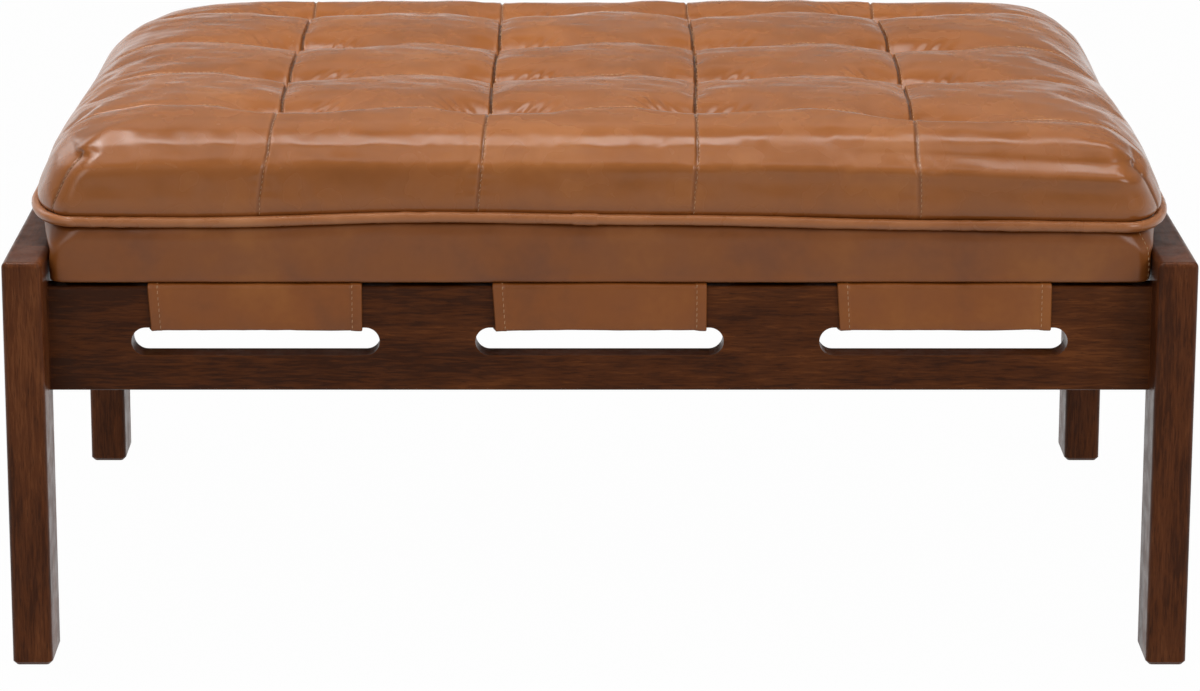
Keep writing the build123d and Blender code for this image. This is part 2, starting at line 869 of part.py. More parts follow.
def build_cushion():
    save("top_cover", make_top_cover())
    save("piping", piping_ring(piping_diameter))
    save("lower_border", make_lower_border())
    save("bottom_cover", foam_block(0, cushion_bottom, cushion_bottom + bottom_cover_thickness))
    save("foam_core", make_foam())
    discs, ties = tuft_pieces()
    save("tuft_discs", discs)
    save("tuft_ties", ties)


def build_zip():
    save("zip_tape", make_zip_tape())
    save("zip_chain", make_zip_chain())
    save("zip_slider", make_zip_slider())
    save("zip_pull", make_zip_pull())


os.makedirs("parts", exist_ok=True)
build_frame()
build_seat()
build_fasteners()
build_cushion()
build_zip()
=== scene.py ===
"""Dresses the ottoman coffee table: a tufted leather cushion on leather straps and a dark timber frame.

Every length is in metres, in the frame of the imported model: X along the table, the front towards -Y, Z up.
"""
from __future__ import annotations

import logging
import math
from dataclasses import dataclass, field
from enum import Enum
from typing import Iterable, Sequence

import bmesh
import bpy
import numpy as np
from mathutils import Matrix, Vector
from mathutils.bvhtree import BVHTree


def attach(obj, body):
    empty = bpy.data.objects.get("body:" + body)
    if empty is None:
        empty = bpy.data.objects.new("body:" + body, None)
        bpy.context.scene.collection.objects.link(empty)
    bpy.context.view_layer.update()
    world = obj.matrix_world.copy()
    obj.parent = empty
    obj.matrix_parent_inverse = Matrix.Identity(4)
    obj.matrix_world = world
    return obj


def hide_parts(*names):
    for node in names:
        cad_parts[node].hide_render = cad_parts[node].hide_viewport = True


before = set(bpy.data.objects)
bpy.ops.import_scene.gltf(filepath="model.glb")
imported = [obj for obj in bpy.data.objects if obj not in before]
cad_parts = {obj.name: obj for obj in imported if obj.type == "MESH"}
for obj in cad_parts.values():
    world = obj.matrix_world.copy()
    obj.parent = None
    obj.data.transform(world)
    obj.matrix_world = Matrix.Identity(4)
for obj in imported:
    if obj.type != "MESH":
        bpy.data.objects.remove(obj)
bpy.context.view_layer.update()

log = logging.getLogger("ottoman")

MM = 0.001
TURN = 2 * math.pi
Array = np.ndarray
Colour = tuple[int, int, int]
Faces = list[list[int]]
Socket = bpy.types.NodeSocket
Finished = bpy.types.Material
Piece = bpy.types.Object


class Side(Enum):
    """A side of the table, seen from the front."""

    FRONT = "front"
    BACK = "back"
    LEFT = "left"
    RIGHT = "right"


class Axis(Enum):
    """The way the grain of a timber runs."""

    X = 0
    Y = 1
    Z = 2


def linear(colour: Iterable[int]) -> tuple[float, ...]:
    """The shader colour, with full alpha, of a display colour of 0 to 255."""
    shares = [value / 255 for value in colour]
    return tuple(s / 12.92 if s <= 0.04045 else ((s + 0.055) / 1.055) ** 2.4 for s in shares) + (1.0,)


class Graph:
    """Builds the node tree of one material, a node to a line."""

    def __init__(self, name: str) -> None:
        """Starts an empty material of that name."""
        self.material = bpy.data.materials.new(name)
        self.material.use_nodes = True
        self.tree = self.material.node_tree
        self.tree.nodes.clear()

    def node(self, kind: str, inputs: dict | None = None, **settings: object) -> bpy.types.Node:
        """Adds a node, sets its options and fills its sockets.

        Args:
            kind: the node's type without its ShaderNode prefix.
            inputs: a value or an output socket for each named or numbered input.
            settings: the node's own options.

        Returns:
            The new node.
        """
        made = self.tree.nodes.new("ShaderNode" + kind)
        for option, value in settings.items():
            setattr(made, option, value)
        for socket, value in (inputs or {}).items():
            if isinstance(value, Socket):
                self.tree.links.new(value, made.inputs[socket])
            else:
                made.inputs[socket].default_value = value
        return made

    def place(self, stretch: Sequence[float] = (1, 1, 1), turn: Sequence[float] = (0, 0, 0)) -> Socket:
        """The object's own coordinates, turned and then stretched.

        Args:
            stretch: the scale along each axis.
            turn: the turn about each axis, in radians.

        Returns:
            The vector socket.
        """
        coordinates = self.node("TexCoord").outputs["Object"]
        turned = self.node("Mapping", {"Vector": coordinates, "Rotation": turn})
        return self.node("Mapping", {"Vector": turned.outputs[0], "Scale": stretch}).outputs[0]

    def noise(self, vector: Socket, scale: float, detail: float = 4, rough: float = 0.55,
              warp: float = 0) -> Socket:
        """A noise texture's value, centred on a half.

        Args:
            vector: where it is sampled.
            scale: cells to the metre.
            detail: octaves.
            rough: weight of the finer octaves.
            warp: how far it bends itself.

        Returns:
            The value socket.
        """
        inputs = {"Vector": vector, "Scale": scale, "Detail": detail, "Roughness": rough, "Distortion": warp}
        return self.node("TexNoise", inputs).outputs[0]

    def cells(self, vector: Socket, scale: float, feature: str = "F1") -> Socket:
        """The distance output of a cell texture of so many cells to the metre."""
        found = self.node("TexVoronoi", {"Vector": vector, "Scale": scale}, feature=feature)
        return found.outputs["Distance"]

    def sum(self, kind: str, first: object, second: object = 0.0) -> Socket:
        """A math node of one kind on two values or sockets."""
        return self.node("Math", {0: first, 1: second}, operation=kind).outputs[0]

    def added(self, *parts: tuple[Socket, float]) -> Socket:
        """The weighted sum of several sockets.

        Args:
            parts: each socket with its weight.

        Returns:
            The sum's socket.
        """
        first, *others = [self.sum("MULTIPLY", part, weight) for part, weight in parts]
        for other in others:
            first = self.sum("ADD", first, other)
        return first

    def span(self, value: Socket, low: float, high: float, to_low: float = 0.0,
             to_high: float = 1.0) -> Socket:
        """Maps a range of a value to another range, smoothly and clamped."""
        inputs = {"Value": value, "From Min": low, "From Max": high, "To Min": to_low, "To Max": to_high}
        return self.node("MapRange", inputs, interpolation_type="SMOOTHSTEP").outputs[0]

    def blend(self, share: object, first: object, second: object) -> Socket:
        """Mixes a share of a second colour into a first one."""
        return self.node("Mix", {"Factor": share, 6: first, 7: second}, data_type="RGBA").outputs[2]

    def attribute(self, name: str) -> Socket:
        """A number that the mesh carries at its points."""
        return self.node("Attribute", attribute_name=name).outputs["Fac"]

    def bump(self, height: Socket, depth: float, strength: float) -> Socket:
        """The normal of a relief whose height of one has a real depth, and of which a share shows."""
        return self.node("Bump", {"Height": height, "Distance": depth, "Strength": strength}).outputs[0]

    def finish(self, **sockets: object) -> Finished:
        """Ends the tree in one principled surface.

        Args:
            sockets: a value or an output socket for each input, named with _ for a space.

        Returns:
            The finished material.
        """
        inputs = {name.replace("_", " "): value for name, value in sockets.items()}
        shader = self.node("BsdfPrincipled", inputs)
        self.node("OutputMaterial", {"Surface": shader.outputs[0]})
        return self.material


@dataclass(frozen=True)
class TimberFinish:
    """Stained and lacquered hardwood with its grain along one axis."""

    name: str
    grain: Axis
    dark: Colour = (55, 25, 9)
    middle: Colour = (83, 42, 17)
    light: Colour = (111, 61, 28)
    gloss_roughness: float = 0.34
    edge_wear_and_highlight: float = 0.35

    def grained(self, g: Graph, along: float, across: float, detail: float, rough: float = 0.55,
                warp: float = 0) -> Socket:
        """A noise whose cells are drawn out along the grain.

        Args:
            g: the material's graph.
            along: cells to the metre along the grain.
            across: cells to the metre across it.
            detail: octaves.
            rough: weight of the finer octaves.
            warp: how far it bends itself.

        Returns:
            The value socket.
        """
        stretch = tuple(along if axis is self.grain else across for axis in Axis)
        return g.noise(g.place(stretch), 1, detail, rough, warp)

    def build(self) -> Finished:
        """Figure, fine streaks, pores, edges lightened partly by wear and partly by a painted highlight, and
        a thin lacquer.
        """
        g = Graph(self.name)
        dark, middle, light = linear(self.dark), linear(self.middle), linear(self.light)
        waviness = self.grained(g, 1.2, 9, 3)
        figure = self.grained(g, 6, 26, 4, 0.55, 0.9)
        streaks = self.grained(g, 42, 460, 4, 0.6, 0.4)
        flecks = self.grained(g, 75, 1000, 2, 0.5)
        tone = g.added((figure, 0.5), (streaks, 0.5), (g.sum("SUBTRACT", waviness, 0.5), 0.4))
        colour = g.blend(g.span(tone, 0.36, 0.52), dark, middle)
        colour = g.blend(g.span(tone, 0.50, 0.68), colour, light)
        pores = g.span(flecks, 0.60, 0.70)
        colour = g.blend(g.sum("MULTIPLY", pores, 0.5), colour, linear(part // 2 for part in self.dark))
        # Edges lighter: partly wear, partly a painted highlight where the rounded edges would catch the
        # light.
        rounded = g.node("Bevel", {"Radius": 2.5 * MM}, samples=4).outputs[0]
        flat = g.node("NewGeometry").outputs["Normal"]
        facing = g.node("VectorMath", {0: rounded, 1: flat}, operation="DOT_PRODUCT").outputs["Value"]
        colour = g.blend(g.span(facing, 0.995, 0.90, 0.0, self.edge_wear_and_highlight), colour, light)
        rough = self.gloss_roughness
        gloss = g.span(g.noise(g.place(), 60, 3), 0.3, 0.7, rough - 0.05, rough + 0.07)
        relief = g.bump(g.sum("SUBTRACT", streaks, g.sum("MULTIPLY", pores, 0.8)), 0.12 * MM, 0.5)
        return g.finish(Base_Color=colour, Roughness=gloss, Normal=relief, Specular_IOR_Level=0.14,
                        Specular_Tint=(1.0, 0.84, 0.72, 1.0))


@dataclass(frozen=True)
class LeatherFinish:
    """Waxed two-tone leather; meshes may carry a painted shade for their creases, which darkens it, and a
    crest lightening, partly pull-up wear and partly painted highlight, which lightens it.
    """

    name: str
    dark: Colour
    middle: Colour
    light: Colour
    gloss_roughness: float = 0.25
    shaded_creases: bool = False
    grain_depth: float = 0.07 * MM

    def build(self) -> Finished:
        """Cloudy tone; where the mesh carries them, painted crease shade and crest lightening that is partly
        pull-up wear and partly painted highlight; pebble grain and fine pull lines.
        """
        g = Graph(self.name)
        dark, middle, light = linear(self.dark), linear(self.middle), linear(self.light)
        even = g.place()
        clouds = g.noise(even, 9, 2, 0.5, 0.2)
        mottle = g.noise(even, 32, 2, 0.45, 0.2)
        specks = g.noise(even, 150, 1, 0.4)
        tone = g.added((clouds, 0.55), (mottle, 0.35), (specks, 0.10))
        colour = g.blend(g.span(tone, 0.33, 0.52), dark, middle)
        colour = g.blend(g.span(tone, 0.50, 0.70), colour, light)
        if self.shaded_creases:
            shadow = linear(part // 3 for part in self.dark)
            # Painted shade: seams, tufts, darts and the wall's foot darken towards a shadow colour.
            colour = g.blend(g.sum("MULTIPLY", g.attribute("painted_crease_shade"), 0.62), colour, shadow)
            # Crests lighten: partly pull-up wear, partly a painted highlight.
            colour = g.blend(g.sum("MULTIPLY", g.attribute("crest_wear_and_highlight"), 0.3), colour, light)
        pebbles = g.cells(even, 620, "SMOOTH_F1")
        fine = g.noise(even, 1500, 3, 0.6)
        pulled = g.noise(g.place((60, 220, 120), (0.2, 0.1, 0.5)), 1, 4, 0.6, 2.0)
        lines = g.span(g.sum("ABSOLUTE", g.sum("SUBTRACT", pulled, 0.5)), 0.0, 0.05)
        relief = g.bump(g.added((pebbles, 0.7), (fine, 0.5), (lines, 0.08)), self.grain_depth, 0.55)
        rough = self.gloss_roughness
        gloss = g.span(mottle, 0.3, 0.75, rough - 0.06, rough + 0.08)
        return g.finish(Base_Color=colour, Roughness=gloss, Normal=relief, Specular_IOR_Level=0.42)


@dataclass(frozen=True)
class ClothFinish:
    """Plain-woven cloth, webbing or tape."""

    name: str
    colour: Colour
    threads_per_metre: float
    sheen: float

    def build(self) -> Finished:
        """Warp and weft waves with uneven yarn."""
        g = Graph(self.name)
        even = g.place()
        inputs = {"Vector": even, "Scale": self.threads_per_metre / 6.3}
        across, along = [g.node("TexWave", inputs, bands_direction=way).outputs["Fac"] for way in "XY"]
        yarn = g.sum("ADD", g.sum("MULTIPLY", across, along), g.noise(even, 180, 4))
        dark = linear(int(part * 0.62) for part in self.colour)
        colour = g.blend(g.span(yarn, 0.35, 1.2), dark, linear(self.colour))
        return g.finish(Base_Color=colour, Roughness=0.88, Normal=g.bump(yarn, 0.15 * MM, 0.7),
                        Sheen_Weight=self.sheen, Sheen_Roughness=0.5, Specular_IOR_Level=0.25)


@dataclass(frozen=True)
class MetalFinish:
    """Plated, cast or painted metal with fine scratches and dull patches."""

    name: str
    colour: Colour
    metallic: float = 1.0
    roughness: float = 0.34

    def build(self) -> Finished:
        """Brushing, pits and uneven gloss."""
        g = Graph(self.name)
        brushed = g.noise(g.place((160, 1400, 900)), 1, 3)
        patches = g.noise(g.place(), 90, 4)
        dull = linear(int(part * 0.8) for part in self.colour)
        colour = g.blend(g.span(patches, 0.35, 0.7), dull, linear(self.colour))
        rough = g.span(patches, 0.3, 0.7, self.roughness - 0.08, self.roughness + 0.12)
        return g.finish(Base_Color=colour, Roughness=rough, Normal=g.bump(brushed, 0.03 * MM, 0.5),
                        Metallic=self.metallic)


@dataclass(frozen=True)
class MouldedFinish:
    """Moulded plastic, foam, twine or thread: one stuff with a fine relief."""

    name: str
    colour: Colour
    roughness: float
    relief_cells: float = 700
    relief_depth: float = 0.05 * MM

    def build(self) -> Finished:
        """A soft mottle and a cellular relief."""
        g = Graph(self.name)
        even = g.place()
        shade = linear(int(part * 0.86) for part in self.colour)
        colour = g.blend(g.span(g.noise(even, 120, 4), 0.35, 0.7), shade, linear(self.colour))
        relief = g.bump(g.cells(even, self.relief_cells), self.relief_depth, 0.6)
        return g.finish(Base_Color=colour, Roughness=self.roughness, Normal=relief)


def unit(vectors: Array) -> Array:
    """The vectors of unit length, one to a row."""
    return vectors / np.linalg.norm(vectors, axis=1)[:, None]


def step(values: Array | float, low: float, high: float) -> Array:
    """A smooth step from 0 at low to 1 at high."""
    share = np.clip((np.asarray(values, float) - low) / (high - low), 0, 1)
    return share * share * (3 - 2 * share)


def bell(distance: Array, width: float | Array, power: float = 2) -> Array:
    """A swelling of 1 at no distance that dies away over a width."""
    return np.exp(-((distance / width) ** power))


def travelled(line: Array) -> Array:
    """How far along a polyline each of its points lies."""
    return np.concatenate([[0], np.cumsum(np.linalg.norm(np.diff(line, axis=0), axis=1))])


def interpolated(stations: Sequence[float] | Array, length: Array, values: Array) -> Array:
    """Each column of values, given at lengths, read at the stations."""
    return np.stack([np.interp(stations, length, values[:, k]) for k in range(values.shape[1])], 1)


def resample(line: Array, count: int, closed: bool = False) -> Array:
    """Samples a polyline evenly; a closed one repeats its first point, and its samples stop short of it."""
    length = travelled(line)
    return interpolated(np.linspace(0, length[-1], count, endpoint=not closed), length, line)


def smooth_line(points: Sequence[Sequence[float]], count: int) -> Array:
    """A smooth curve through points, sampled evenly along its length.

    Args:
        points: what it goes through.
        count: number of samples.

    Returns:
        The samples.
    """
    p = np.asarray(points, float)
    p = np.vstack([2 * p[0] - p[1], p, 2 * p[-1] - p[-2]])
    fine = []
    shares = np.linspace(0, 1, 24, endpoint=False)[:, None]
    for a, b, c, d in zip(p, p[1:], p[2:], p[3:]):
        fine.append(0.5 * (2 * b + (c - a) * shares + (2 * a - 5 * b + 4 * c - d) * shares**2
                           + (3 * b - a - 3 * c + d) * shares**3))
    return resample(np.vstack(fine + [p[-2][None, :]]), count)


def waves(points: Array, wavelength: float, seed: int, count: int = 9) -> Array:
    """A smooth, seeded unevenness between about -1 and 1 at each point.

    Args:
        points: where it is wanted.
        wavelength: its main wavelength.
        seed: the seed of its directions.
        count: number of waves that are summed.

    Returns:
        One value for each point.
    """
    draw = np.random.default_rng(seed)
    total = np.zeros(len(points))
    for _ in range(count):
        way = draw.normal(size=3)
        way /= np.linalg.norm(way)
        length = wavelength * draw.uniform(0.7, 1.6)
        total += np.sin(TURN * (points @ way) / length + draw.uniform(0, TURN))
    return total / math.sqrt(count)


def ripples(points: Array, *kinds: tuple[float, float, int]) -> Array:
    """The sum of several unevennesses, each given by its depth, wavelength and seed."""
    return sum(depth * waves(points, wavelength, seed) for depth, wavelength, seed in kinds)


def mesh_object(name: str, points: Array, faces: Faces) -> Piece:
    """Makes a smoothly shaded mesh object.

    Args:
        name: the piece's name.
        points: its points.
        faces: the corner numbers of each face.

    Returns:
        The new piece.
    """
    mesh = bpy.data.meshes.new(name)
    corners = [tuple(int(i) for i in face) for face in faces]
    mesh.from_pydata([tuple(point) for point in np.asarray(points, float)], [], corners)
    mesh.update()
    mesh.polygons.foreach_set("use_smooth", [True] * len(mesh.polygons))
    piece = bpy.data.objects.new(name, mesh)
    bpy.context.scene.collection.objects.link(piece)
    return piece


def dress(piece: Piece, finish: Finished) -> None:
    """Gives a piece one finish in place of any that it has."""
    piece.data.materials.clear()
    piece.data.materials.append(finish)


def stand_for(piece: Piece, finish: Finished, body: str, node: str) -> None:
    """Dresses a piece, rides it on its body and shows it in place of a node.

    Args:
        piece: the piece.
        finish: its material here.
        body: the body that carries it.
        node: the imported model's node that it stands for.
    """
    dress(piece, finish)
    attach(piece, body)
    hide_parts(node)


def read(data: bpy.types.bpy_prop_collection, name: str, width: int) -> Array:
    """One number or vector of every item of a mesh's collection.

    Args:
        data: the collection.
        name: the property that is read.
        width: how many numbers an item has.

    Returns:
        The values, an item to a row.
    """
    values = np.zeros(len(data) * width, np.float32)
    data.foreach_get(name, values)
    return (values.reshape(-1, width) if width > 1 else values).astype(float)


def get_points(piece: Piece) -> Array:
    """The mesh's points as an N by 3 array."""
    return read(piece.data.vertices, "co", 3)


def get_normals(piece: Piece) -> Array:
    """The smooth normal at each point."""
    return read(piece.data.vertex_normals, "vector", 3)


def get_attribute(piece: Piece, name: str) -> Array:
    """Reads back what set_attribute stored."""
    return read(piece.data.attributes[name].data, "value", 1)


def set_attribute(piece: Piece, name: str, values: Array) -> None:
    """Stores one number for each point of a mesh."""
    layer = piece.data.attributes.get(name) or piece.data.attributes.new(name, "FLOAT", "POINT")
    layer.data.foreach_set("value", np.asarray(values, np.float32))


def set_points(piece: Piece, points: Array) -> None:
    """Moves the mesh's points to new places."""
    piece.data.vertices.foreach_set("co", np.asarray(points, np.float32).ravel())
    piece.data.update()


def apply_modifiers(piece: Piece) -> None:
    """Replaces the mesh by what its modifiers make of it, and drops them.

    Args:
        piece: the piece.
    """
    graph = bpy.context.evaluated_depsgraph_get()
    shaped = bpy.data.meshes.new_from_object(piece.evaluated_get(graph), depsgraph=graph)
    piece.modifiers.clear()
    old = piece.data
    piece.data = shaped
    bpy.data.meshes.remove(old)


def grid_faces(rows: int, columns: int, closed_columns: bool = False, closed_rows: bool = False) -> Faces:
    """Quads of a grid whose points run column by column within each row.

    Args:
        rows: number of rows.
        columns: number of points in a row.
        closed_columns: whether a row's end joins its start.
        closed_rows: whether the last row joins the first.

    Returns:
        The faces.
    """
    faces = []
    for j in range(rows if closed_rows else rows - 1):
        here, above = j * columns, (j + 1) % rows * columns
        for i in range(columns if closed_columns else columns - 1):
            beside = (i + 1) % columns
            faces.append([here + i, here + beside, above + beside, above + i])
    return faces


def capped_faces(rows: int, sides: int) -> Faces:
    """The faces of a closed section swept in rows, with a cap at each end."""
    last = (rows - 1) * sides
    return grid_faces(rows, sides, True) + [list(range(sides))[::-1], list(range(last, last + sides))]


def flipped(faces: Faces) -> Faces:
    """The same faces looking the other way."""
    return [face[::-1] for face in faces]


def band_faces(rings: Sequence[Array]) -> Faces:
    """Quads that join closed rings of points, each to the next one below it.

    Args:
        rings: the point numbers of each ring.

    Returns:
        The faces, which face outward.
    """
    faces = []
    for upper, lower in zip(rings, rings[1:]):
        for i in range(len(upper)):
            beside = (i + 1) % len(upper)
            faces.append([int(lower[i]), int(lower[beside]), int(upper[beside]), int(upper[i])])
    return faces


def rim_numbers(columns: int, rows: int) -> Array:
    """A grid's border points, from the front left corner and round to the right.

    Args:
        columns: points in a row.
        rows: number of rows.

    Returns:
        Their numbers.
    """
    front = np.arange(columns - 1)
    right = np.arange(rows - 1) * columns + columns - 1
    back = (rows - 1) * columns + np.arange(columns - 1, 0, -1)
    left = np.arange(rows - 1, 0, -1) * columns
    return np.concatenate([front, right, back, left])


def tube(path: Array, radii: Array | float, sides: int, closed: bool = False,
         up: Sequence[float] = (0, 0, 1)) -> tuple[Array, Faces]:
    """A round tube along a path.

    Args:
        path: the centreline's points.
        radii: its radius, or one for each point.
        sides: corners of its section.
        closed: whether the path is a loop.
        up: a direction that is never along the path.

    Returns:
        The points and faces.
    """
    count = len(path)
    way = unit(np.roll(path, -1, 0) - np.roll(path, 1, 0) if closed else np.gradient(path, axis=0))
    side = unit(np.cross(way, np.asarray(up, float)))
    over = np.cross(side, way)
    turns = np.linspace(0, TURN, sides, endpoint=False)
    reach = np.broadcast_to(np.asarray(radii, float), (count,))[:, None, None]
    ring = side[:, None] * np.cos(turns)[None, :, None] + over[:, None] * np.sin(turns)[None, :, None]
    faces = grid_faces(count, sides, True, True) if closed else capped_faces(count, sides)
    return (path[:, None] + ring * reach).reshape(-1, 3), faces


@dataclass
class Gathered:
    """Points and faces that are gathered from several parts into one mesh."""

    points: list[Array] = field(default_factory=list)
    faces: Faces = field(default_factory=list)
    count: int = 0

    def add(self, points: Array, faces: Faces) -> None:
        """Takes in one more part.

        Args:
            points: its points.
            faces: its faces, which number its own points.
        """
        self.points.append(points)
        self.faces += [[self.count + i for i in face] for face in faces]
        self.count += len(points)

    def piece(self, name: str) -> Piece:
        """The mesh object of all that was gathered."""
        return mesh_object(name, np.vstack(self.points), self.faces)


@dataclass
class Stitching:
    """Rows of thread stitches that are laid on leather."""

    pitch: float = 4.6 * MM
    length: float = 3.3 * MM
    thread_radius: float = 0.34 * MM
    sides: int = 4
    ends: tuple[float, ...] = (0.0, 0.18, 0.82, 1.0)
    plumpness: tuple[float, ...] = (0.25, 0.95, 0.95, 0.25)
    thread: Gathered = field(default_factory=Gathered)

    def row(self, line: Array, normals: Array, sink: float = 0.1 * MM, slant: float = 0.0,
            seed: int = 1) -> None:
        """Lays one row of stitches.

        Args:
            line: the points of the seam, in order.
            normals: the way out of the leather at each.
            sink: how deep the thread's middle lies under the surface.
            slant: how far a stitch leans sideways over its length.
            seed: the seed of its small unevenness.
        """
        draw = np.random.default_rng(seed)
        length = travelled(line)
        dip = np.array([1.0, 0.0, 0.0, 1.0])[:, None] * self.thread_radius
        for number in range(int(length[-1] / self.pitch)):
            start = (number + 0.15) * self.pitch + draw.uniform(-0.05, 0.05) * self.pitch
            ends = [start + share * self.length for share in self.ends]
            if ends[-1] > length[-1]:
                break
            spine = interpolated(ends, length, line)
            out = unit(interpolated(ends, length, normals))
            way = spine[-1] - spine[0]
            way /= np.linalg.norm(way)
            across = np.cross(way, out[1])
            across /= np.linalg.norm(across)
            spine = spine - out * sink + across * (np.asarray(self.ends) - 0.5)[:, None] * slant
            self.capsule(spine - out * dip, across, out)

    def capsule(self, spine: Array, across: Array, out: Array) -> None:
        """Adds one stitch as a short plump tube.

        Args:
            spine: its centreline.
            across: its sideways way.
            out: the way out of the leather at each point.
        """
        turns = np.linspace(0, TURN, self.sides, endpoint=False) + math.pi / 4
        reach = np.asarray(self.plumpness)[:, None, None] * self.thread_radius
        ring = across * np.cos(turns)[None, :, None] + out[:, None] * np.sin(turns)[None, :, None]
        self.thread.add((spine[:, None] + ring * reach).reshape(-1, 3), capped_faces(len(spine), self.sides))

    def build(self, name: str, finish: Finished, body: str) -> Piece:
        """Makes one piece of all the rows.

        Args:
            name: the piece's name.
            finish: the thread's material.
            body: the body that it rides on.

        Returns:
            The piece.
        """
        piece = self.thread.piece(name)
        dress(piece, finish)
        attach(piece, body)
        return piece


@dataclass
class Palette:
    """Every finish on the table, by its name."""

    made: dict[str, Finished] = field(default_factory=dict)

    def mix(self) -> None:
        """Builds the finishes in the colours of the photographed table."""
        cover = (141, 82, 35), (151, 89, 40), (162, 99, 48)
        finishes = [TimberFinish(f"walnut_stain_{axis.name.lower()}", axis) for axis in Axis] + [
            TimberFinish("leg_stain", Axis.Z, (62, 30, 14), (91, 48, 24), (118, 68, 38)),
            TimberFinish("slat_timber", Axis.Y, (150, 108, 68), (176, 134, 90), (196, 158, 112), 0.6),
            TimberFinish("dowel_beech", Axis.X, (178, 140, 96), (198, 164, 118), (214, 184, 140), 0.6),
            LeatherFinish("cover_leather", *cover, shaded_creases=True),
            LeatherFinish("border_leather", (121, 66, 24), (134, 75, 28), (147, 87, 37), 0.36),
            # The piping is lighter than the cover; part of that lightness is its top highlight painted into
            # the colour.
            LeatherFinish("piping_leather", (152, 92, 50), (166, 104, 60), (180, 119, 74), 0.30),
            LeatherFinish("strap_leather", (124, 67, 20), (138, 76, 25), (152, 89, 35), 0.44),
            MouldedFinish("sewing_thread", (208, 166, 124), 0.6, 2400),
            MouldedFinish("brown_thread", (120, 84, 56), 0.7, 2400),
            ClothFinish("lining_cloth", (44, 40, 37), 1100, 0.1),
            MouldedFinish("seat_foam", (232, 222, 190), 0.95, 900, 0.3 * MM),
            MouldedFinish("tuft_twine", (206, 190, 156), 0.9, 1800, 0.1 * MM),
            MouldedFinish("disc_plastic", (218, 216, 208), 0.45),
            MouldedFinish("glide_nylon", (38, 34, 32), 0.5),
            MetalFinish("black_steel", (30, 30, 31), 0.2, 0.45),
            MetalFinish("zinc_plate", (196, 196, 190)),
            MetalFinish("insert_brass", (204, 168, 96)),
            ClothFinish("zip_tape_cloth", (74, 48, 32), 1500, 0.2),
            MouldedFinish("zip_coil_nylon", (58, 38, 26), 0.4),
            MetalFinish("zip_brass", (142, 112, 70), 1.0, 0.38),
        ]
        self.made = {finish.name: finish.build() for finish in finishes}

    def __getitem__(self, name: str) -> Finished:
        """The finish of that name."""
        return self.made[name]


